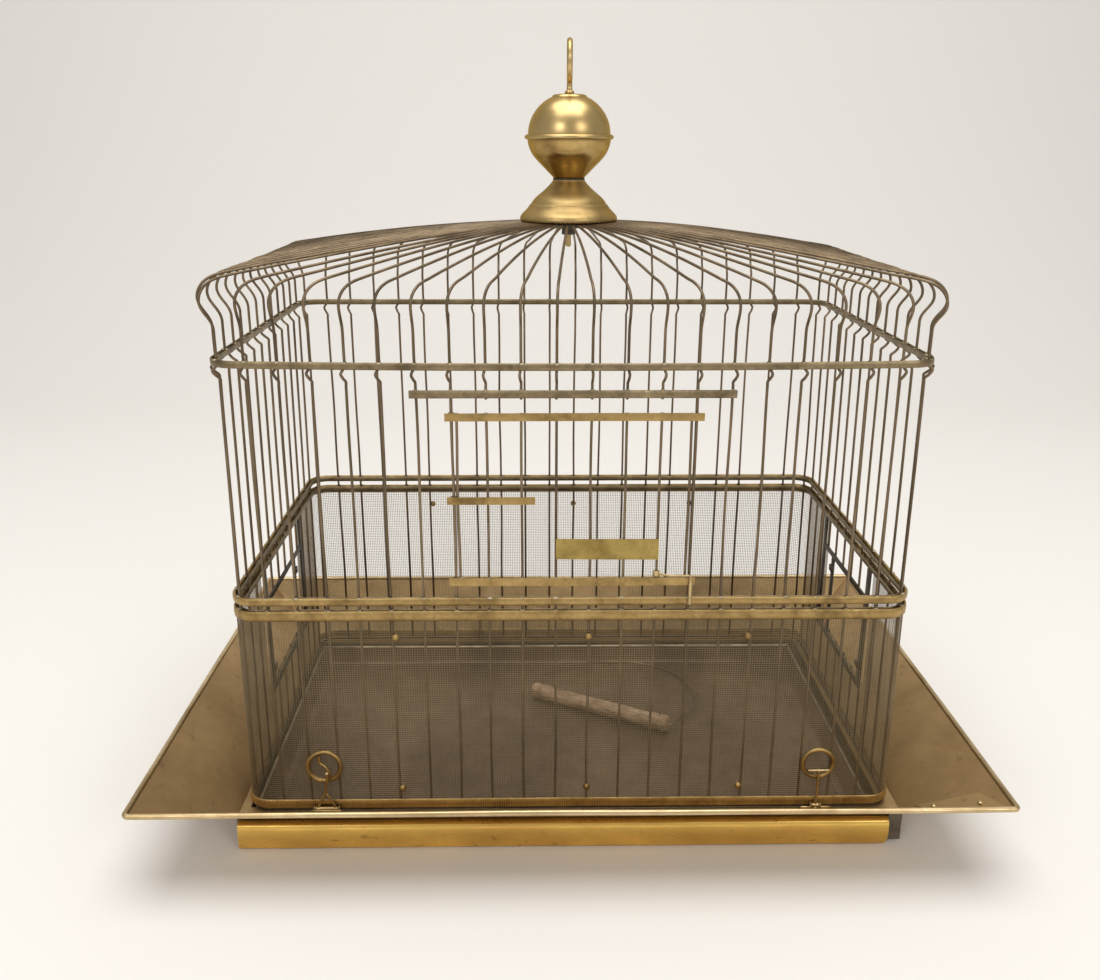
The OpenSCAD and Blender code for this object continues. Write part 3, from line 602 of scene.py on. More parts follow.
def band(name, z, W, D, R, secs, mat, replaces, amp=0.12):
    bag = Bag()
    for (o0, o1, z0, z1, cr) in secs:
        path, nrm = rrect(W, D, R, 12, 4.0)
        m = len(path)
        w = sum(amp / (q + 1) * np.sin(np.arange(m) / m * 2 * math.pi * (7 + 9 * q) + rng.uniform(0, 6)) for q in range(4))
        prof = strip_profile(o0, o1, z0, z1, 0.35, cr)
        sweep(bag, path, nrm, prof[::-1], w)
    if z > 200:
        bag.v = [settle(v) for v in bag.v]
    return make(name, bag, mat, "cage", replaces, lift=ZC)


band("upper_band_strip", 277.8, W1 + OFF, WD + OFF, CR + 1, [(0.75, 1.75, 275.9, 279.7, 0.12)], "strip_dark", ["upper_band"], 0.05)
band("upper_band_lining", 277.8, W1 + OFF, WD + OFF, CR + 1, [(-1.5, -0.75, 276.1, 279.5, 0.0)], "strip_dark", ["upper_band_inner"], 0.04)
band("lower_band_strip", 139, side_w(139), WD, CR, [(0.7, 2.3, 136.8, 141.3, 0.3)], "strip", ["lower_band"], 0.10)
band("lower_band_lining", 139, side_w(139), WD, CR, [(-1.5, -0.75, 137.3, 140.9, 0.0)], "strip_dark", ["lower_band_inner"], 0.04)
band("bottom_band_strip", 4, side_w(3), WD, CR, [(1.15, 2.3, 0.9, 6.8, 0.2)], "strip", ["bottom_band"], 0.10)


# the binding that holds the cloth's top edge is crimped: fine upright ribs
def crimped(name, W, D, R, o, z0, z1, pitch, amp, mat, replaces):
    bag = Bag()
    path, nrm = rrect(W, D, R, 24, pitch / 2)
    m = len(path) // 2 * 2
    idx = np.linspace(0, len(path) - 1, m).astype(int)
    path, nrm = path[idx], nrm[idx]
    w = amp * np.where(np.arange(m) % 2 == 0, 1.0, -1.0) * rng.uniform(0.4, 1.0, m)
    prof = strip_profile(o[0], o[1], z0, z1, 0.5, 0.25)
    sweep(bag, path, nrm, prof[::-1], w)
    return make(name, bag, mat, "cage", replaces, lift=ZC)


crimped("mesh_binding_strip", side_w(130), WD, CR, (1.15, 2.3), 127.1, 133.4, 1.43, 0.10, "strip", ["mesh_binding"])
band("mesh_binding_lining", 130, side_w(130), WD, CR, [(-2.1, -1.4, 129.6, 133.1, 0.0)], "strip_dark", ["mesh_binding_inner"], 0.03)

# the ring the cage stands on, coloured dark to stand for the shadow line in the gap between the bottom band and the
# skirt: a real wire with painted shadow
b = Bag()
path, nrm = rrect(198.0, 117.4, 13.2, 14, 8.0)
tube(b, np.c_[path, np.full(len(path), -0.25)], 1.0, 8, closed=True)
make("bottom_wire_ring_painted_shadow", b, "dark", "cage", ["bottom_wire"], lift=ZC)

# the cloth's wires pressed flat against the bottom strip show as fine upright dashes
b = Bag()
path, nrm = rrect(side_w(3) + 2.38, WD + 2.38, CR + 2.38, 24, 1.43)
for k in range(len(path)):
    p, n = path[k], nrm[k]
    if p[1] < -100 and min(abs(p[0] - CLX[0]), abs(p[0] - CLX[1])) < 4:
        continue
    t = np.array([-n[1], n[0]])
    h0, h1 = 1.4 + rng.uniform(0, 0.3), 6.3 - rng.uniform(0, 0.4)
    w = 0.26
    q = [(*(p + t * s * w + n * o), z) for z in (h0, h1) for s, o in ((-1, -0.15), (1, -0.15), (0, 0.22))]
    b.add(q, [[0, 2, 5, 3], [2, 1, 4, 5]])
    b.add(q, [[3, 5, 4], [0, 1, 2]])
make("bottom_dashes", b, "bright", "cage", lift=ZC)

# solder at every wire on the bands, and at the strips over the door
b = Bag()
for i in range(NW):
    x, y, nx, ny = WALL[i]
    n = np.array([nx, ny])
    for z, off, rr in ((279.4, OFF + 1.0, 1.05), (141.0, 1.2, 1.15), (133.4, 1.1, 1.0)):
        p = wall_xy(i, min(z, 268)) + n * off
        s = rng.uniform(0.75, 1.25)
        t = np.array([-ny, nx])
        c = settle([(*(p + t * rng.uniform(-0.3, 0.3)), z)])[0]
        ball(b, tuple(c), rr * s, 1.0 + 0.5 * abs(ny), 1.0 + 0.5 * abs(nx), 0.62, 8, 6)
    p = wall_xy(i, 268) + n * (OFF - 0.9)
    ball(b, tuple(settle([(*p, 279.5)])[0]), 1.0 * rng.uniform(0.8, 1.2), 1.2, 1.2, 0.6, 8, 6)
for k in range(-5, 6):
    if k and abs(wire_x(k)) < 88:
        ball(b, (wire_x(k), -WD - 0.9, 263.3), 0.95 * rng.uniform(0.7, 1.2), 1.5, 1.0, 0.6, 8, 6)
make("solder_joints", b, "solder", "cage", lift=ZC)


# ------------------------------------------------------------------ woven wire cloth
def cloth():
    bag = Bag()
    P = 1.43
    r = 0.135
    z_top = 131.4
    fy0, fy1, fz = -50.0, 50.0, 47.0
    W, D, R = side_w(66) + WR + 0.32, WD + WR + 0.32, CR + WR + 0.32
    path, nrm = rrect(W, D, R, 14, P)
    # even spacing round the loop
    d = np.r_[0, np.cumsum(np.linalg.norm(np.diff(np.vstack([path, path[:1]]), axis=0), axis=1))]
    n = int(d[-1] / P) // 2 * 2
    s = np.arange(n) * d[-1] / n
    px = np.interp(s, d, np.r_[path[:, 0], path[0, 0]])
    py = np.interp(s, d, np.r_[path[:, 1], path[0, 1]])
    nx = np.interp(s, d, np.r_[nrm[:, 0], nrm[0, 0]])
    ny = np.interp(s, d, np.r_[nrm[:, 1], nrm[0, 1]])
    lean = lambda z, nxx: (side_w(z) - side_w(66)) * nxx
    hole = (np.abs(nx) > 0.95) & (py > fy0) & (py < fy1)
    rows = np.arange(0.9, z_top, P)

    # rows: crimped loops
    alt = np.where(np.arange(n) % 2 == 0, 1.0, -1.0)
    base = np.stack([px, py], -1)
    nn = np.stack([nx, ny], -1)
    for q, z in enumerate(rows):
        w = alt * (1 if q % 2 else -1) * 0.12
        xy = base + nn * w[:, None]
        xy[:, 0] += lean(z, nx)
        zz = z + 0.05 * np.sin(np.arange(n) * 0.021 + q) + 0.03 * np.sin(np.arange(n) * 0.093 + 2 * q)
        segs = []
        if fz < z:
            keep = ~hole
            start = int(np.argmax(hole))
            order = np.roll(np.arange(n), -start)
            k = keep[order]
            cut = np.flatnonzero(np.diff(np.r_[0, k.astype(int), 0]))
            segs = [order[a:b_] for a, b_ in zip(cut[::2], cut[1::2])]
        else:
            segs = [np.r_[np.arange(n), 0]]
        for o in segs:
            m = len(o)
            c = np.c_[xy[o], zz[o]]
            out = np.c_[nn[o], np.zeros(m)]
            ring = np.stack([c + out * r, c + [0, 0, r], c - out * r, c - [0, 0, r]], 1).reshape(-1, 3)
            i, j = np.arange(m - 1)[:, None], np.arange(4)[None]
            k4 = (j + 1) % 4
            bag.add(ring, np.stack([i * 4 + j, i * 4 + k4, (i + 1) * 4 + k4, (i + 1) * 4 + j], -1).reshape(-1, 4)[:, ::-1])
    # uprights
    for q in range(n):
        z1 = fz if hole[q] else z_top
        c = np.array([[px[q] + lean(z, nx[q]), py[q], z] for z in (0.6, z1)])
        t = np.array([-ny[q], nx[q], 0]) * r
        o = np.array([nx[q], ny[q], 0]) * r
        ring = np.stack([c + o, c + t, c - o, c - t], 1).reshape(-1, 3)
        i, j = np.arange(1)[:, None], np.arange(4)[None]
        k4 = (j + 1) % 4
        bag.add(ring, np.stack([i * 4 + j, i * 4 + k4, (i + 1) * 4 + k4, (i + 1) * 4 + j], -1).reshape(-1, 4))
    return make("woven_cloth", bag, "mesh", "cage",
                ["mesh_front", "mesh_back", "mesh_left", "mesh_right", "mesh_corners"], lift=ZC)


cloth()

# ------------------------------------------------------------------ the base
LW, LD, LT = 204.0, 123.5, -1.65
RW, RD, RZ, RR = 252.5, 168.5, 31.4, 1.7


def dent(x, y, seed):
    return (0.35 * math.sin(0.021 * x + 1.3 * seed) * math.sin(0.034 * y + seed)
            + 0.18 * math.sin(0.057 * x + 2.1 * seed + 0.02 * y) + 0.10 * math.sin(0.11 * x + 0.07 * y + seed))


def panel(name, side, node):
    """One flared panel from the ledge to under the rolled rim."""
    long = side in ("front", "back")
    il, io = (LW, LD) if long else (LD, LW)
    ol, oo = (RW, RD) if long else (RD, RW)
    oo, ol = oo - 0.9, ol - 0.9
    nu, nv = 64, 14
    g = np.zeros((nu, nv, 3))
    a = {"front": 0, "right": 90, "back": 180, "left": 270}[side]
    ca, sa = math.cos(math.radians(a)), math.sin(math.radians(a))
    for i in range(nu):
        for j in range(nv):
            t = j / (nv - 1)
            s = 2 * i / (nu - 1) - 1
            x = s * (il + (ol - il) * t)
            y = -(io + (oo - io) * t)
            z = LT + (RZ - LT) * t
            w = math.sin(math.pi * t) * (1 - s ** 8)
            z += w * dent(x, y, a / 90 + 1) - 0.6 * math.sin(math.pi * t) * (1 - s ** 8)
            g[i, j] = (x * ca - y * sa, x * sa + y * ca, z)
    bag = Bag()
    slab(bag, g, -0.8)
    # the back panel takes the darker copy of the skirt brass: painted shade
    return make(name, bag, "skirt_painted_shade" if side == "back" else "skirt", "base", [node], lift=ZC)


for sd in ("front", "right", "back", "left"):
    panel("skirt_panel_" + sd, sd, "skirt_" + sd)

# rolled rim with a bead's corner
b = Bag()
path, nrm = rrect(RW, RD, 2.0, 5, 10.0)
m = len(path)
wz = 0.22 * np.sin(np.arange(m) / m * 2 * math.pi * 5) + 0.12 * np.sin(np.arange(m) / m * 2 * math.pi * 13 + 1)
tube(b, np.c_[path, RZ + wz], RR, 12, closed=True)
make("rim_bead", b, "rim", "base", ["skirt_rim"], lift=ZC)

# mitre seams, a thin raised line of solder up each corner
b = Bag()
for sx in (-1, 1):
    for sy in (-1, 1):
        if (sx, sy) == (1, -1):
            continue
        q = [(sx * (LW + (RW - LW - 1) * t), sy * (LD + (RD - LD - 1) * t), LT + (RZ - LT) * t + 0.1) for t in np.linspace(0.0, 1, 12)]
        tube(b, q, 0.55, 6)
make("mitre_seams", b, "skirt", "base", lift=ZC)

# the lap of the front panel on the right panel
ang = math.atan2(RZ - LT, RW - 0.9 - LW)


def on_right(x, y, d):
    return (LW + x * math.cos(ang) - d * math.sin(ang), y, LT + x * math.sin(ang) + d * math.cos(ang))


b = Bag()
quad = [(14, -133.9), (10, -126.0), (46, -143.5), (54.5, -164.4)]
g = np.zeros((14, 8, 3))
for i in range(14):
    for j in range(8):
        u, v = i / 13, j / 7
        p = np.array(quad[0]) * (1 - u) * (1 - v) + np.array(quad[3]) * u * (1 - v) + np.array(quad[2]) * u * v + np.array(quad[1]) * (1 - u) * v
        g[i, j] = on_right(p[0], p[1], 0.75 + 0.15 * math.sin(5 * u + 3 * v))
slab(b, g, 0.6)
make("lap_flap", b, "lap", "base", ["lap_tab"], lift=ZC)
b = Bag()
for q in ((19.5, -134.6), (43.5, -151.2)):
    ball(b, on_right(q[0], q[1], 1.0), 1.7, 1, 1, 0.55, 16, 10)
make("lap_rivets", b, "bright", "base", ["tab_rivets"], lift=ZC)

# ------------------------------------------------------------------ the drawer
DX = -3.75
b = Bag()
hw = 199.75
prof = [(-121.9, -22.0), (-123.2, -22.3), (-126.6, -22.3), (-128.2, -21.4), (-129.0, -19.6), (-129.2, -13.0), (-129.0, -8.0), (-128.6, -5.6),
        (-127.6, -4.4), (-126.0, -4.1), (-122.6, -4.1), (-121.9, -4.4)]
xs = np.r_[np.linspace(-hw, hw - 3, 60), hw - 2, hw - 1.2, hw - 0.5, hw]
pr = np.array(prof)
V = []
for x in xs:
    e = max(0.0, (x - (hw - 3)) / 3.0)
    lift_ = 3.0 * (1 - math.sqrt(max(0.0, 1 - e * e)))
    w = 0.12 * math.sin(x * 0.03) + 0.08 * math.sin(x * 0.11 + 1)
    for y, z in pr:
        zz = z + lift_ * max(0.0, (-z - 4.1) / 18.2) if z < -4.1 else z
        V.append((x + DX, y - (w if y < -124 else 0), zz))
V = np.array(V)
k = len(pr)
i, j = np.arange(len(xs) - 1)[:, None], np.arange(k)[None]
b.add(V, np.stack([i * k + j, (i + 1) * k + j, (i + 1) * k + (j + 1) % k, i * k + (j + 1) % k], -1).reshape(-1, 4)[:, ::-1])
for e, sgn in ((0, 1), (len(xs) - 1, -1)):
    ring = V[e * k:(e + 1) * k]
    c = ring.mean(0)
    tri = [[0, 1 + jj, 1 + (jj + 1) % k] if sgn > 0 else [0, 1 + (jj + 1) % k, 1 + jj] for jj in range(k)]
    b.add(np.vstack([c[None], ring]), tri)
make("drawer_face", b, "drawer", "drawer", ["drawer_front"], lift=ZC)

# the tray: one pressed sheet with rounded bends, and its folded rim, coloured bright: partly wear, partly a painted
# highlight along the fold
t0, t1 = -121.85, 112.6
b = Bag()
prof = [(0.0, -6.3), (-1.6, -9.0), (-3.6, -13.0), (-5.4, -16.8), (-6.6, -18.6), (-8.4, -19.6), (-11.0, -19.8)]
path, nrm = rrect(193.3, (t1 - t0) / 2 - 0.2, 5.0, 5, 6.0)
path = path + np.array([DX, (t0 + t1) / 2])
m, k = len(path), len(prof)
V = []
for i in range(m):
    for o, z in prof:
        V.append((path[i, 0] + nrm[i, 0] * o * (1.0 if abs(nrm[i, 0]) > 0.01 else 1), path[i, 1] + nrm[i, 1] * o * 0.45, z + 0.12 * math.sin(0.05 * path[i, 0] + z)))
i, j = np.arange(m)[:, None], np.arange(k - 1)[None]
i2 = (i + 1) % m
b.add(V, np.stack([i * k + j, i2 * k + j, i2 * k + j + 1, i * k + j + 1], -1).reshape(-1, 4))
V = np.array(V)
inner = V[k - 1::k]
outer = V.copy() - 0
# underside of the same sheet
U = np.array([(path[i, 0] + nrm[i, 0] * (o + 0.8 * (1 - jj / (k - 1))), path[i, 1] + nrm[i, 1] * (o * 0.45 + 0.3), z - 0.7 * jj / (k - 1)) for i in range(m) for jj, (o, z) in enumerate(prof)])
i, j = np.arange(m)[:, None], np.arange(k - 1)[None]
b.add(U, np.stack([i * k + j, i * k + j + 1, (i + 1) % m * k + j + 1, (i + 1) % m * k + j], -1).reshape(-1, 4))
gx = np.linspace(-1, 1, 60)
gy = np.linspace(-1, 1, 40)
x0, x1, y0, y1 = inner[:, 0].min() - 0.6, inner[:, 0].max() + 0.6, inner[:, 1].min() - 0.6, inner[:, 1].max() + 0.6
g = np.array([[((x0 + x1) / 2 + (x1 - x0) / 2 * u, (y0 + y1) / 2 + (y1 - y0) / 2 * v,
               -19.95 + (1 - u ** 6) * (1 - v ** 6) * (0.22 * math.sin(5 * u + 1) * math.sin(4 * v + 2) + 0.14 * math.sin(11 * u + 3 * v) - 0.1)) for v in gy] for u in gx])
slab(b, g, 0.55)
make("tray_sheet", b, "zinc", "drawer", ["tray_floor", "tray_walls"], lift=ZC)
b = Bag()
q = [(-193.0, t0 + 1), (193.0, t0 + 1), (193.0, t1 - 0.6), (-193.0, t1 - 0.6)]
for (x0, y0), (x1, y1) in zip(q, q[1:] + q[:1]):
    n = 24
    pts = [(x0 + (x1 - x0) * t + DX, y0 + (y1 - y0) * t, -6.4 + 0.15 * math.sin(9 * t + x0)) for t in np.linspace(0, 1, n)]
    tube(b, pts, 0.9, 8)
make("tray_rim_fold", b, "tray_rim", "drawer", lift=ZC)

# ------------------------------------------------------------------ the bail of the swing
pc, pa = np.array([26.5, 25.8]), math.radians(-27.9)
PZ = -19.8 + 6.2 + 0.15
drop = math.asin((PZ + 19.8 - 0.75 - 0.25) / 89)
ctrl = [(-53, 0, 0), (-57.4, 0.3, 0), (-59, 2, 0), (-60.5, 12, 0), (-60.5, 26, 0), (-56, 43, 0), (-46, 60, 0), (-32, 74, 0),
        (-12, 85, 0), (10, 89, 0), (28, 84, 0), (42, 74, 0), (54, 61, 0), (61, 48, 0), (63.5, 38, 0), (62, 25, 0), (60, 12, 0),
        (59, 2, 0), (57.4, 0.3, 0), (53, 0, 0)]
sp = spline(ctrl, 6)
sp = np.c_[sp[:, 0], sp[:, 1] * math.cos(drop), -sp[:, 1] * math.sin(drop) + 0.0]
sp = np.c_[pc[0] + sp[:, 0] * math.cos(pa) - sp[:, 1] * math.sin(pa), pc[1] + sp[:, 0] * math.sin(pa) + sp[:, 1] * math.cos(pa), PZ + sp[:, 2]]
b = Bag()
tube(b, sp, 0.75, 10)
make("bail_wire", b, "wire", "bail", ["bail"], lift=ZC)

# ------------------------------------------------------------------ the finial
BZ = 393.6
b = Bag()
lathe(b, spline([(28.0, 345.2), (29.2, 344.8), (30.0, 345.4), (30.2, 346.4), (29.8, 347.8), (28.4, 349.5), (26.6, 351.2), (25.4, 352.5),
                 (24.7, 353.5), (24.2, 354.3), (23.4, 354.9), (22.8, 355.8), (22.0, 357.0), (20.4, 358.7), (18.2, 360.6), (15.8, 362.5),
                 (13.4, 364.7), (11.4, 366.8), (10.0, 368.5), (9.6, 369.4), (9.0, 369.6), (8.0, 369.6)], 3), 160)
make("finial_bell", b, "bell", "cage", ["bell"], lift=ZC)
b = Bag()
lathe(b, spline([(7.6, 369.3), (8.6, 369.4), (9.0, 369.8), (9.8, 370.7), (12.6, 373.5), (16.0, 376.9), (19.7, 380.6), (22.7, 384.3), (24.5, 388.2), (25.3, 391.4), (25.4, 393.0)], 6), 160)
make("finial_ball_lower", b, "ball_low", "cage", ["ball_lower"], lift=ZC)
# a thin dark ring where bell and ball meet: painted shadow of the gap at the neck
b = Bag()
lathe(b, [(8.4, 368.9), (9.7, 369.1), (9.9, 369.7), (9.7, 370.2), (8.4, 370.4)], 96)
make("neck_joint_painted_shadow", b, "dark", "cage", lift=ZC)
b = Bag()
lathe(b, [(25.0, BZ - 1.1), (26.3, BZ - 0.9), (27.0, BZ - 0.3), (27.2, BZ + 0.5), (26.9, BZ + 1.3), (26.2, BZ + 1.8), (25.2, BZ + 2.1)], 160)
make("finial_bead", b, "ball", "cage", ["seam_bead"], lift=ZC)
b = Bag()
lathe(b, [(25.1 * math.cos(math.radians(a)), BZ + 2.0 + 25.1 * math.sin(math.radians(a)) * 0.94) for a in np.linspace(0, 64, 34)] +
      [(10.6, 416.9), (10.3, 417.6), (9.6, 418.1), (8.4, 418.4), (6.2, 418.6), (3.0, 418.7), (0.4, 418.7)], 160)
make("finial_ball_upper", b, "ball", "cage", ["ball_upper"], lift=ZC)

# hanging ring on its stem: an eye bent from the rod's end
b = Bag()
az = math.radians(-1.5)
ring = []
for a in np.linspace(-78, 258, 60):
    c, s = 11.0 * math.cos(math.radians(a)), 11.3 * math.sin(math.radians(a))
    ring.append((c * -math.sin(az) * 1.0, c * math.cos(az), 437.0 + s))
ring = [(0, 0, 329.4), (0, 0, 370.0), (0, 0, 410.0), (0, 0, 419.5), (0, 0, 422.5)] + ring
sp = np.vstack([np.array(ring[:4]), spline(ring[3:], 3)[1:]])
tube(b, sp, 1.7, 14)
lathe(b, [(2.6, 418.7), (2.9, 419.2), (2.8, 419.9), (2.2, 420.5), (1.7, 420.9)], 32)
make("hanging_eye", b, "ball", "hanger", ["hanger_ring"], lift=ZC)

# ------------------------------------------------------------------ fittings
b = Bag()
for n_, cx in enumerate(CLX):
    if n_ == 0:     # a coil of wire with its end brought to the middle
        pts = [(cx + (9.5 + 0.6 * t) * math.cos(a), -119.3 - 0.9 * t, 31.0 + (9.5 + 0.6 * t) * math.sin(a))
               for t, a in zip(np.linspace(0, 1, 90), np.linspace(-1.2, -1.2 + 2 * math.pi * 1.9, 90))]
        tube(b, pts, 1.3, 12)
        tube(b, spline([(cx + 3.2, -120.6, 22.3), (cx + 3.0, -121.4, 27), (cx + 0.5, -121.0, 31.5), (cx - 2.6, -120.6, 34), (cx - 2.4, -120.2, 38.6)], 6), 0.9, 8)
    else:
        pts = [(cx + 9.4 * math.cos(a), -119.4, 30.6 + 9.4 * math.sin(a)) for a in np.linspace(0, 2 * math.pi, 64, endpoint=False)]
        tube(b, pts, 1.35, 12, closed=True)
        # the eye's neck that is soldered between two wires
        tube(b, [(cx - 1.5, -117.4, 21.6), (cx, -118.6, 21.4), (cx + 1.5, -117.4, 21.6)], 0.9, 8)
make("catch_eyes", b, "strip", "cage", ["catch_rings"], lift=ZC)

PY, PZ_ = -121.75, 2.4


def cyl_x(bag, x0, x1, y, z, r, n=20):
    tube(bag, [(x0, y, z), (x1, y, z)], r, n)


b = Bag()
cx = CLX[0]
tri = spline([(cx - 5.8, PY, PZ_), (cx - 4.4, PY - 0.1, 5.6), (cx - 0.8, PY - 0.2, 12.6), (cx, PY - 0.2, 14.0)], 5)
tube(b, tri, 0.85, 8)
tri = spline([(cx + 5.8, PY, PZ_), (cx + 4.4, PY - 0.1, 5.6), (cx + 0.8, PY - 0.2, 12.6), (cx, PY - 0.2, 14.0)], 5)
tube(b, tri, 0.85, 8)
tube(b, spline([(cx, PY - 0.2, 13.2), (cx + 0.3, PY - 0.6, 18), (cx + 1.6, PY - 1.2, 23), (cx + 1.8, PY - 1.4, 27.6)], 5), 1.0, 10)
ball(b, (cx + 1.8, PY - 1.4, 27.8), 1.3, 1, 1, 1, 12, 8)
cyl_x(b, cx - 6.5, cx + 6.5, PY, PZ_, 1.25)
make("toggle_left_wire", b, "bright", "clip_left", ["toggle_left"], lift=ZC)
b = Bag()
cx = CLX[1]
tube(b, [(cx, PY, PZ_), (cx + 0.4, PY - 0.1, 12), (cx + 0.2, PY - 0.2, 26.6)], 0.9, 10)
tube(b, [(cx - 6.2, PY - 0.2, 27.0), (cx + 6.4, PY - 0.2, 27.1)], 0.8, 10)
cyl_x(b, cx - 1.9, cx + 1.9, PY, PZ_, 1.25)
ball(b, (cx + 0.3, PY - 0.4, 0.3), 1.15, 1, 1, 1, 12, 8)
make("toggle_right_wire", b, "bright", "clip_right", ["toggle_right"], lift=ZC)

b = Bag()
cx = CLX[0]
box(b, (cx - 9.2, -123.4, -1.65), (cx + 9.2, -120.2, -0.85), 0.2)
box(b, (cx - 9.0, -124.0, -1.2), (cx + 9.0, -123.0, 2.6), 0.25)
for s in (-1, 1):
    box(b, (cx + s * 7.4 - 0.45, -123.2, -1.4), (cx + s * 7.4 + 0.45, -120.3, 3.9), 0.2)
cx = CLX[1]
box(b, (cx - 9.4, -123.4, -1.65), (cx + 9.2, -120.2, -0.85), 0.2)
for s in (-1, 1):
    box(b, (cx + s * 2.8 - 0.45, -123.2, -1.4), (cx + s * 2.8 + 0.45, -120.3, 3.9), 0.2)
box(b, (cx - 9.4, -123.6, 0.4), (cx - 3.2, -122.6, 2.4), 0.2)
box(b, (cx + 3.2, -123.6, 0.4), (cx + 9.0, -122.6, 2.4), 0.2)
make("bracket_plates", b, "bright", "base", ["clip_brackets"], smooth=False, lift=ZC)
b = Bag()
for cx, g in zip(CLX, (8.3, 3.7)):
    cyl_x(b, cx - g, cx + g, PY, PZ_, 0.6, 12)
make("toggle_pin_wires", b, "dark", "base", ["toggle_pins"], lift=ZC)

b = Bag()
for x in (-102.9, 9.6, 102.9):
    for z in (15.5, 117):
        for s in (-1, 1):
            ball(b, (x, s * (WD + WR + 1.95), z), 2.15, 1, 0.9, 1, 20, 12)
            tube(b, [(x, s * (WD - 1.6), z), (x, s * (WD + 2.2), z)], 0.7, 8)
make("stud_heads", b, "strip", "cage", ["studs"], lift=ZC)

# ------------------------------------------------------------------ the cup openings
b = Bag()
for sx in (-1, 1):
    X = side_w(80) - 1.5

    def post(y0, y1, z0, z1, o=0.0, t=1.0):
        a, c = sorted((sx * (X - o), sx * (X - o - t)))
        box(b, (a, y0, z0), (c, y1, z1), 0.15)
    post(-54, -47, 44, 129.5)
    post(48, 54, 44, 129.5)
    post(-47, 48, 44, 49)
    post(-47, 48, 106, 110)
    post(24, 30, 49, 106)
    post(-46.5, -45.2, 49, 106, -0.4, 1.0)
    # folded lugs on the posts that a cup's hooks run behind
    for y, z in ((-49, 58), (-49, 96), (26, 58), (26, 96)):
        post(y - 1.6, y + 4.6, z, z + 4.5, 1.0, 1.2)
make("cup_opening_frames", b, "dark", "cage", ["feeder_frames"], smooth=False, lift=ZC)

# ------------------------------------------------------------------ the door
HX = wire_x(-4)
b = Bag()
dxs = [HX + 2.9] + [wire_x(k) for k in (-3, -2, -1, 1, 2, 3)] + [-HX - 2.7]
for n_, x in enumerate(dxs):
    a = rng.uniform(-0.5, 0.5, 3)
    pts = []
    for z in np.linspace(149.4, 250.4, 14):
        t = (z - 149.4) / 101
        w = math.sin(math.pi * t) * (a[0] * math.sin(3 * t + 6 * a[1]) + 0.4 * a[2] * math.sin(8 * t))
        pts.append((x + w, -117.38, z))
    tube(b, spline(pts, 2), WR, 8)
make("door_bars", b, "wire", "door", ["door_wires"], lift=ZC)

b = Bag()
SF, SB = -119.0, -118.2
for z0, z1, x1 in ((246.3, 250.7, 71.2), (198.2, 202.6, -21.4), (149.1, 153.7, 70.2)):
    n = 40 if x1 > 0 else 14
    x0 = HX - 3.6
    g = np.zeros((n, 6, 3))
    for i in range(n):
        for j in range(6):
            x = x0 + (x1 - x0) * i / (n - 1)
            z = z0 + (z1 - z0) * j / 5
            g[i, j] = (x, SF - 0.10 * math.sin(math.pi * j / 5) - 0.06 * math.sin(0.3 * x), z + 0.12 * math.sin(0.021 * x + z0))
    slab(b, g, 0.8)
    lathe_b = Bag()
    lathe(b, [(0.85, z0), (1.75, z0), (1.75, z1), (0.85, z1)], 24, (HX, -WD))
make("door_strip_bars", b, "strip", "door", ["door_strips"], lift=ZC)

b = Bag()
box(b, (-89.6, -118.75, 259.0), (88.4, -117.75, 263.4), 0.3)
make("header_bar", b, "strip_dark", "cage", ["header_strip"], smooth=False, lift=ZC)

b = Bag()
g = np.zeros((20, 8, 3))
for i in range(20):
    for j in range(8):
        x = -9.7 + 58.4 * i / 19
        z = 165.2 + 12.3 * j / 7
        g[i, j] = (x, SF - 0.15 * math.sin(math.pi * i / 19) - 0.1 * math.sin(math.pi * j / 7), z - 0.006 * (x - 20))
slab(b, g, 0.7)
make("door_push_plate", b, "plate", "door", ["door_plate"], smooth=True, lift=ZC)

b = Bag()
for x in dxs:
    for z in (250.3, 153.4):
        ball(b, (x, -118.0, z), 0.95 * rng.uniform(0.8, 1.2), 1.5, 1.0, 0.6, 8, 6)
make("door_solder", b, "solder", "door", lift=ZC)

# latch: an eye on the door's bar with a bent tail and a drop pin in front of the band
b = Bag()
LX = wire_x(3)
lathe(b, [(0.86, 154.3), (1.9, 154.3), (2.05, 155.0), (2.05, 156.8), (1.9, 157.5), (0.86, 157.5)], 24, (LX, -117.38))
tail = spline([(LX + 1.4, -118.9, 156.6), (LX + 4.5, -119.4, 155.7), (LX + 10, -119.5, 155.1), (LX + 16, -119.8, 155.2), (66.4, -120.4, 155.5), (67.3, -120.6, 154.6), (67.4, -120.7, 152.6), (67.4, -120.7, 147.0), (67.4, -120.7, 138.4)], 5)
tube(b, tail, 0.72, 10)
tube(b, [(67.4, -120.7, 151.6), (67.4, -120.7, 138.2)], 1.0, 12)
make("latch_wire", b, "bright", "latch", ["door_latch"], lift=ZC)

# ------------------------------------------------------------------ what stays as the CAD made it
keep = {"base_ledge": "skirt", "runner_left": "runner", "runner_right": "runner", "base_back": "runner",
        "perch": "wood", "hub_disc": "dark", "hanger_nut": "dark"}
for n_, key in keep.items():
    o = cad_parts[n_]
    setmat(o, key)
for n_ in ("perch", "hub_disc"):
    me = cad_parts[n_].data
    me.polygons.foreach_set("use_smooth", np.ones(len(me.polygons), bool))
    me.set_sharp_from_angle(angle=math.radians(38))

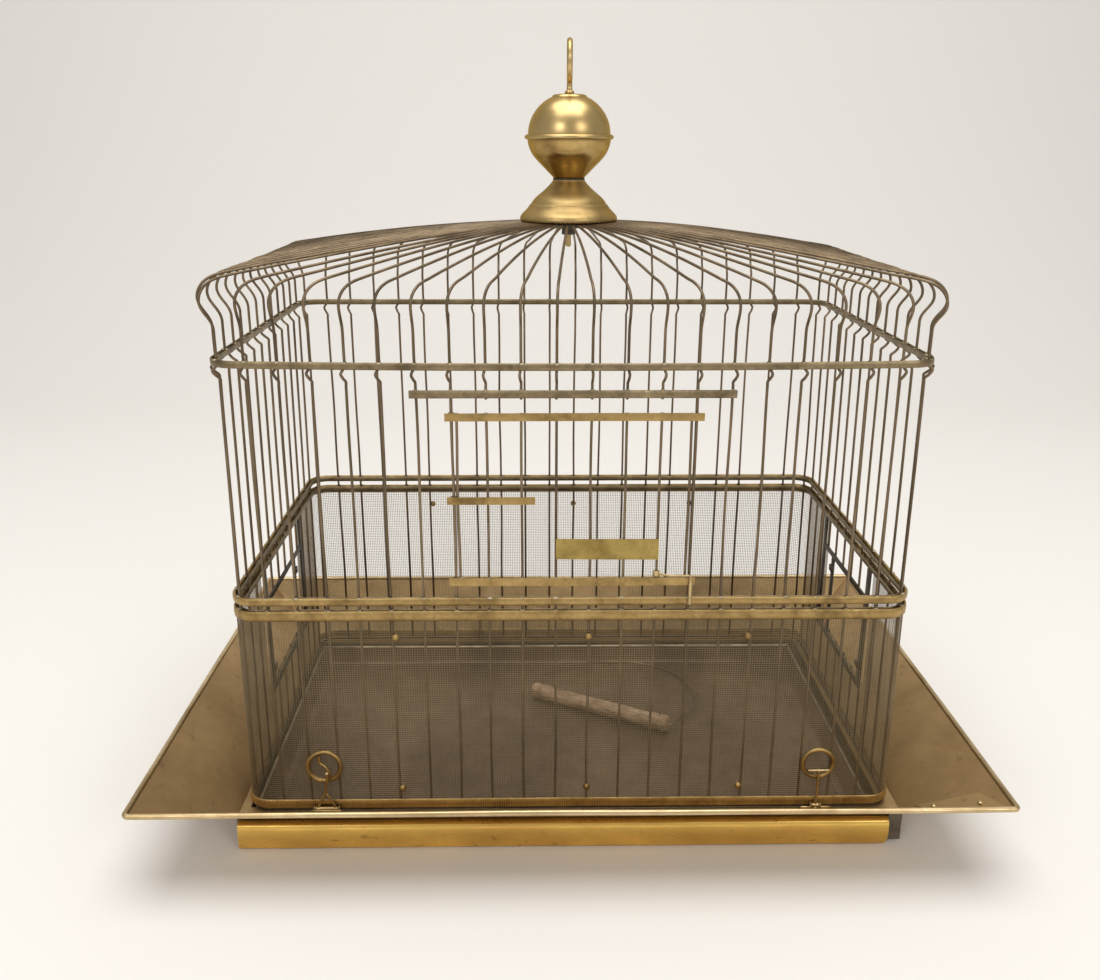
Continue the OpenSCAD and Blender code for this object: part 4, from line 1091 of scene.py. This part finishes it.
# ------------------------------------------------------------------ stage, light, camera
mf, nt, bs = new_mat("pale_floor")
bs.inputs["Base Color"].default_value = (0.87, 0.85, 0.818, 1)
bs.inputs["Roughness"].default_value = 0.85
bs.inputs["Specular IOR Level"].default_value = 0.2
prof = [(-2.6, 0.0), (1.0, 0.0)] + [(1.0 + 1.0 * math.sin(a), 1.0 - 1.0 * math.cos(a)) for a in np.linspace(0.05, math.pi / 2, 24)] + [(2.0, 4.0)]
vs, fs = [], []
for y, z in prof:
    vs += [(-4.5, y, z), (4.5, y, z)]
for i in range(len(prof) - 1):
    fs.append((2 * i, 2 * i + 1, 2 * i + 3, 2 * i + 2))
me = bpy.data.meshes.new("floor")
me.from_pydata(vs, [], fs)
me.polygons.foreach_set("use_smooth", [True] * len(fs))
floor = bpy.data.objects.new("floor", me)
bpy.context.scene.collection.objects.link(floor)
me.materials.append(mf)

world = bpy.data.worlds.new("studio")
bpy.context.scene.world = world
world.use_nodes = True
bg = world.node_tree.nodes["Background"]
bg.inputs["Color"].default_value = (1.0, 0.975, 0.945, 1)
bg.inputs["Strength"].default_value = 0.44


def area(name, loc, target, size, power, col=(1, 0.985, 0.96), size_y=None):
    d = bpy.data.lights.new(name, "AREA")
    d.shape = "RECTANGLE"
    d.size, d.size_y = size, size_y or size
    d.energy = power
    d.color = col
    o = bpy.data.objects.new(name, d)
    bpy.context.scene.collection.objects.link(o)
    o.location = loc
    o.rotation_euler = (Vector(target) - Vector(loc)).to_track_quat("-Z", "Y").to_euler()
    return o


area("top_soft", (0.0, -0.15, 2.2), (0, 0, 0.1), 2.0, 34.0, size_y=1.7)
area("front_left", (-1.15, -2.0, 1.3), (0, 0, 0.25), 0.8, 9.2)
area("front_right", (1.25, -1.9, 1.3), (0, 0, 0.25), 0.8, 9.6)

cam_d = bpy.data.cameras.new("cam")
cam_d.lens = 33.8
cam_d.sensor_width = 36
cam = bpy.data.objects.new("cam", cam_d)
bpy.context.scene.collection.objects.link(cam)
cam.location = (-0.0224, -0.6646, 0.410)
yaw, pitch = math.radians(-0.97), math.radians(18.26)
fwd = Vector((-math.sin(yaw) * math.cos(pitch), math.cos(yaw) * math.cos(pitch), -math.sin(pitch)))
roll = math.radians(0.14)
right = Vector((math.cos(yaw), math.sin(yaw), 0.0))
upv = right.cross(fwd)
r2 = right * math.cos(roll) + upv * math.sin(roll)
u2 = upv * math.cos(roll) - right * math.sin(roll)
cam.rotation_euler = Matrix((r2, u2, -fwd)).transposed().to_euler()
cam_d.dof.use_dof = False
cam_d.clip_start = 0.01
bpy.context.scene.camera = cam

sc = bpy.context.scene
sc.render.resolution_x, sc.render.resolution_y = 1100, 980
sc.view_settings.view_transform = "Standard"
sc.view_settings.look = "None"
sc.view_settings.exposure = 0.0
